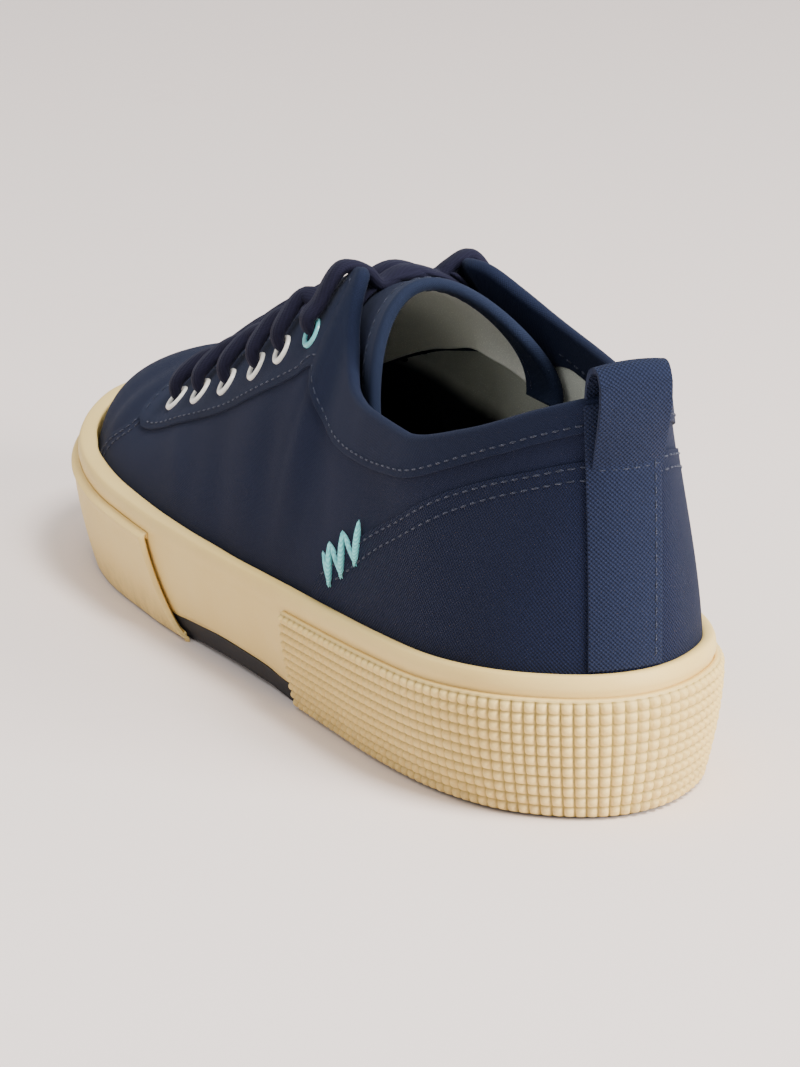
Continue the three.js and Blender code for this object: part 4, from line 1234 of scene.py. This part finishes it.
def makeLace(settings):
    bm = bmesh.new()
    layer = bm.loops.layers.uv.new("weave")
    for side in (1, -1):
        for index in range(6):
            path, normals = lacePath(side, index)
            steps = settings["rows"] + 1
            track = curveThrough(np.hstack([path, normals]), steps)
            line, lifts = track[:, :3], unit(track[:, 3:])
            ahead = unit(np.gradient(line, axis=0))
            across = unit(np.cross(ahead, lifts))
            raised = np.cross(across, ahead)
            f = np.linspace(0, 1, steps)
            swell = smooth([0, 0.03, 0.08, 0.16, 0.42, 0.8, 1], [0.4, 0.62, 0.86, 1, 1, 0.95, 0.7])(f)
            flat = smooth([0, 0.08, 0.24, 0.42, 0.7, 0.82, 1], [1.2, 1.1, 1.0, 1.0, 0.9, 0.5, 0.45])(f)

            def placing(u, v):
                turn = u * fullTurn
                lobe = 1 - 0.1 * np.exp(-(np.cos(turn) / 0.24) ** 2)
                wide = np.interp(v, f, swell) * settings["width"] / 2 * np.cos(turn)
                high = np.interp(v, f, swell * flat) * settings["thick"] / 2 * np.sin(turn) * lobe
                middle, sideways, upwards = (alongPath(part, v) for part in (line, across, raised))
                return middle + sideways * wide[..., None] + upwards * high[..., None]

            strand = grid(settings["columns"], settings["rows"], placing, weld=True)
            closeEnds(strand)
            mergeInto(bm, strand)
    addPiece("laceStrands", bm, finishes["lace"], ["lace"])


makeLace(laceSettings)
print("tongue, eyelets and lace made")

# Heel strip and pull loop.
def heelAt(out, v, proud):
    out, v = np.broadcast_arrays(np.asarray(out, float), np.asarray(v, float))
    high = float(lapOf(40)) + 0 * out
    low = -high
    for _ in range(24):
        middle = (low + high) / 2
        before = upperAt(middle, v, proud)[..., 0] < out
        low, high = np.where(before, middle, low), np.where(before, high, middle)
    return upperAt((low + high) / 2, v, proud)


stripSettings = {"left": 9.8, "right": -7.3, "low": 34.0, "proud": 1.15, "thickness": 0.9, "edge": 1.9}


def makeHeelStrip(settings):
    foot = float(rowAtHeight(0.0, settings["low"]))

    def placing(u, v):
        return heelAt(mixed(settings["left"], settings["right"], u), mixed(foot, 1.0, v), settings["proud"])

    bm = grid(34, 80, placing, away=50)
    addSheet("heelStrip", bm, "webbing", "pull_loop", settings["thickness"], 0.25)
    seam = bmesh.new()
    rows = np.linspace(foot + 0.02, 0.985, 90)
    inward = settings["right"] + settings["edge"] + 0 * rows
    points = heelAt(inward, rows, settings["proud"])
    stitchRow(seam, points, unit(points - heelAt(inward, rows, 0)))
    addSeam("heelStripStitches", seam, "pull_loop")


makeHeelStrip(stripSettings)

loopSettings = {"half": 8.3, "middle": 0.35, "thickness": 1.25, "baseBend": 0.026, "topBend": 0.007}
loopPath = table(
    "s z",
    (3.9, 77), (3.3, 79.5), (2.3, 83.5), (1.0, 89), (0.3, 94.5), (0.6, 98.8), (2.2, 101.3), (4.6, 101.6),
    (6.7, 100), (7.9, 96.5), (8.6, 92), (9.1, 85))


def makePullLoop(settings):
    steps = 90
    line = curveThrough([(row["s"], 0, row["z"]) for row in loopPath], steps + 1)

    def placing(u, v):
        at = alongPath(line, v)
        out = mixed(settings["half"], -settings["half"], u) + settings["middle"]
        bend = mixed(settings["baseBend"], settings["topBend"], np.clip((at[:, 2] - 79) / 14, 0, 1))
        droop = 0.012 * np.abs(out) ** 2 * np.clip(at[:, 2] - 97, 0, 1)
        return place(at[:, 0] + bend * out ** 2, out, at[:, 2] - droop)

    bm = grid(30, steps, placing)
    bm.normal_update()
    highest = max(bm.faces, key=lambda face: face.calc_center_median().z)
    if highest.normal.z < 0:
        bmesh.ops.reverse_faces(bm, faces=bm.faces)
    addSheet("pullLoop", bm, "webbing", "pull_loop", settings["thickness"], 0.3)
    seam = bmesh.new()
    u = np.linspace(0.06, 0.94, 40)
    points = placing(u, 0.035 + 0 * u)
    stitchRow(seam, points, np.array([[0, 1.0, 0]] * len(u)), pitch=2.4)
    addSeam("pullLoopStitches", seam, "pull_loop")


makePullLoop(loopSettings)

tealSettings = {"width": 1.75, "narrow": 1.35}
tealTurns = table(
    "s z",
    (89.3, 41), (83.9, 35), (86, 44), (78.4, 38.4), (80.2, 48.1), (72.2, 42.9), (72.9, 52.4))


def makeTealStitches(settings):
    # one zigzag bar tack over the front end of the counter seam
    bm = bmesh.new()
    for index, (start, end) in enumerate(zip(tealTurns, tealTurns[1:])):
        line = np.linspace(0, 1, 16)
        lap = lapOf(mixed(start["s"], end["s"], line))
        v = rowAtHeight(lap, mixed(start["z"], end["z"], line))
        points = upperAt(lap, v, counterSettings["proud"])
        span = float(np.linalg.norm(points[-1] - points[0]))
        stitchRow(bm, points, upperNormal(lap, v), pitch=2 * span, length=span + 1.2,
                  width=settings["narrow" if index % 2 == 0 else "width"], lift=0.1 + 0.35 * (index % 2))
    addPiece("tealStitches", bm, finishes["tealThread"])


makeTealStitches(tealSettings)
print("heel made")

for name, finish in (("outsole", "dark"), ("midsole", "cream")):
    piece = bpy.data.objects.get(name)
    if piece:
        piece.material_slots[0].material = finishes[finish]

# The floor is stage, not part of the shoe.
def makeFloor():
    material, tree, shader = startMaterial("paleFloor", 0.7, specular=0.2)
    broad = noise(tree, objectPlace(tree), 7.0, 5.0).outputs[0]
    fine = noise(tree, objectPlace(tree), 130.0, 4.0).outputs[0]
    both = math2(tree, "ADD", broad, math2(tree, "MULTIPLY_ADD", fine, 0.5))
    tone = remap(tree, both, (0.4, 1.1))
    floorColor = blend(tree, tone, (0.77, 0.665, 0.625, 1), (0.87, 0.775, 0.735, 1))
    tree.links.new(floorColor, shader.inputs["Base Color"])
    bm = bmesh.new()
    bmesh.ops.create_grid(bm, x_segments=1, y_segments=1, size=4)
    mesh = bpy.data.meshes.new("floor")
    bm.to_mesh(mesh)
    bm.free()
    mesh.materials.append(material)
    floor = bpy.data.objects.new("floor", mesh)
    bpy.context.scene.collection.objects.link(floor)


makeFloor()

print("scene made")
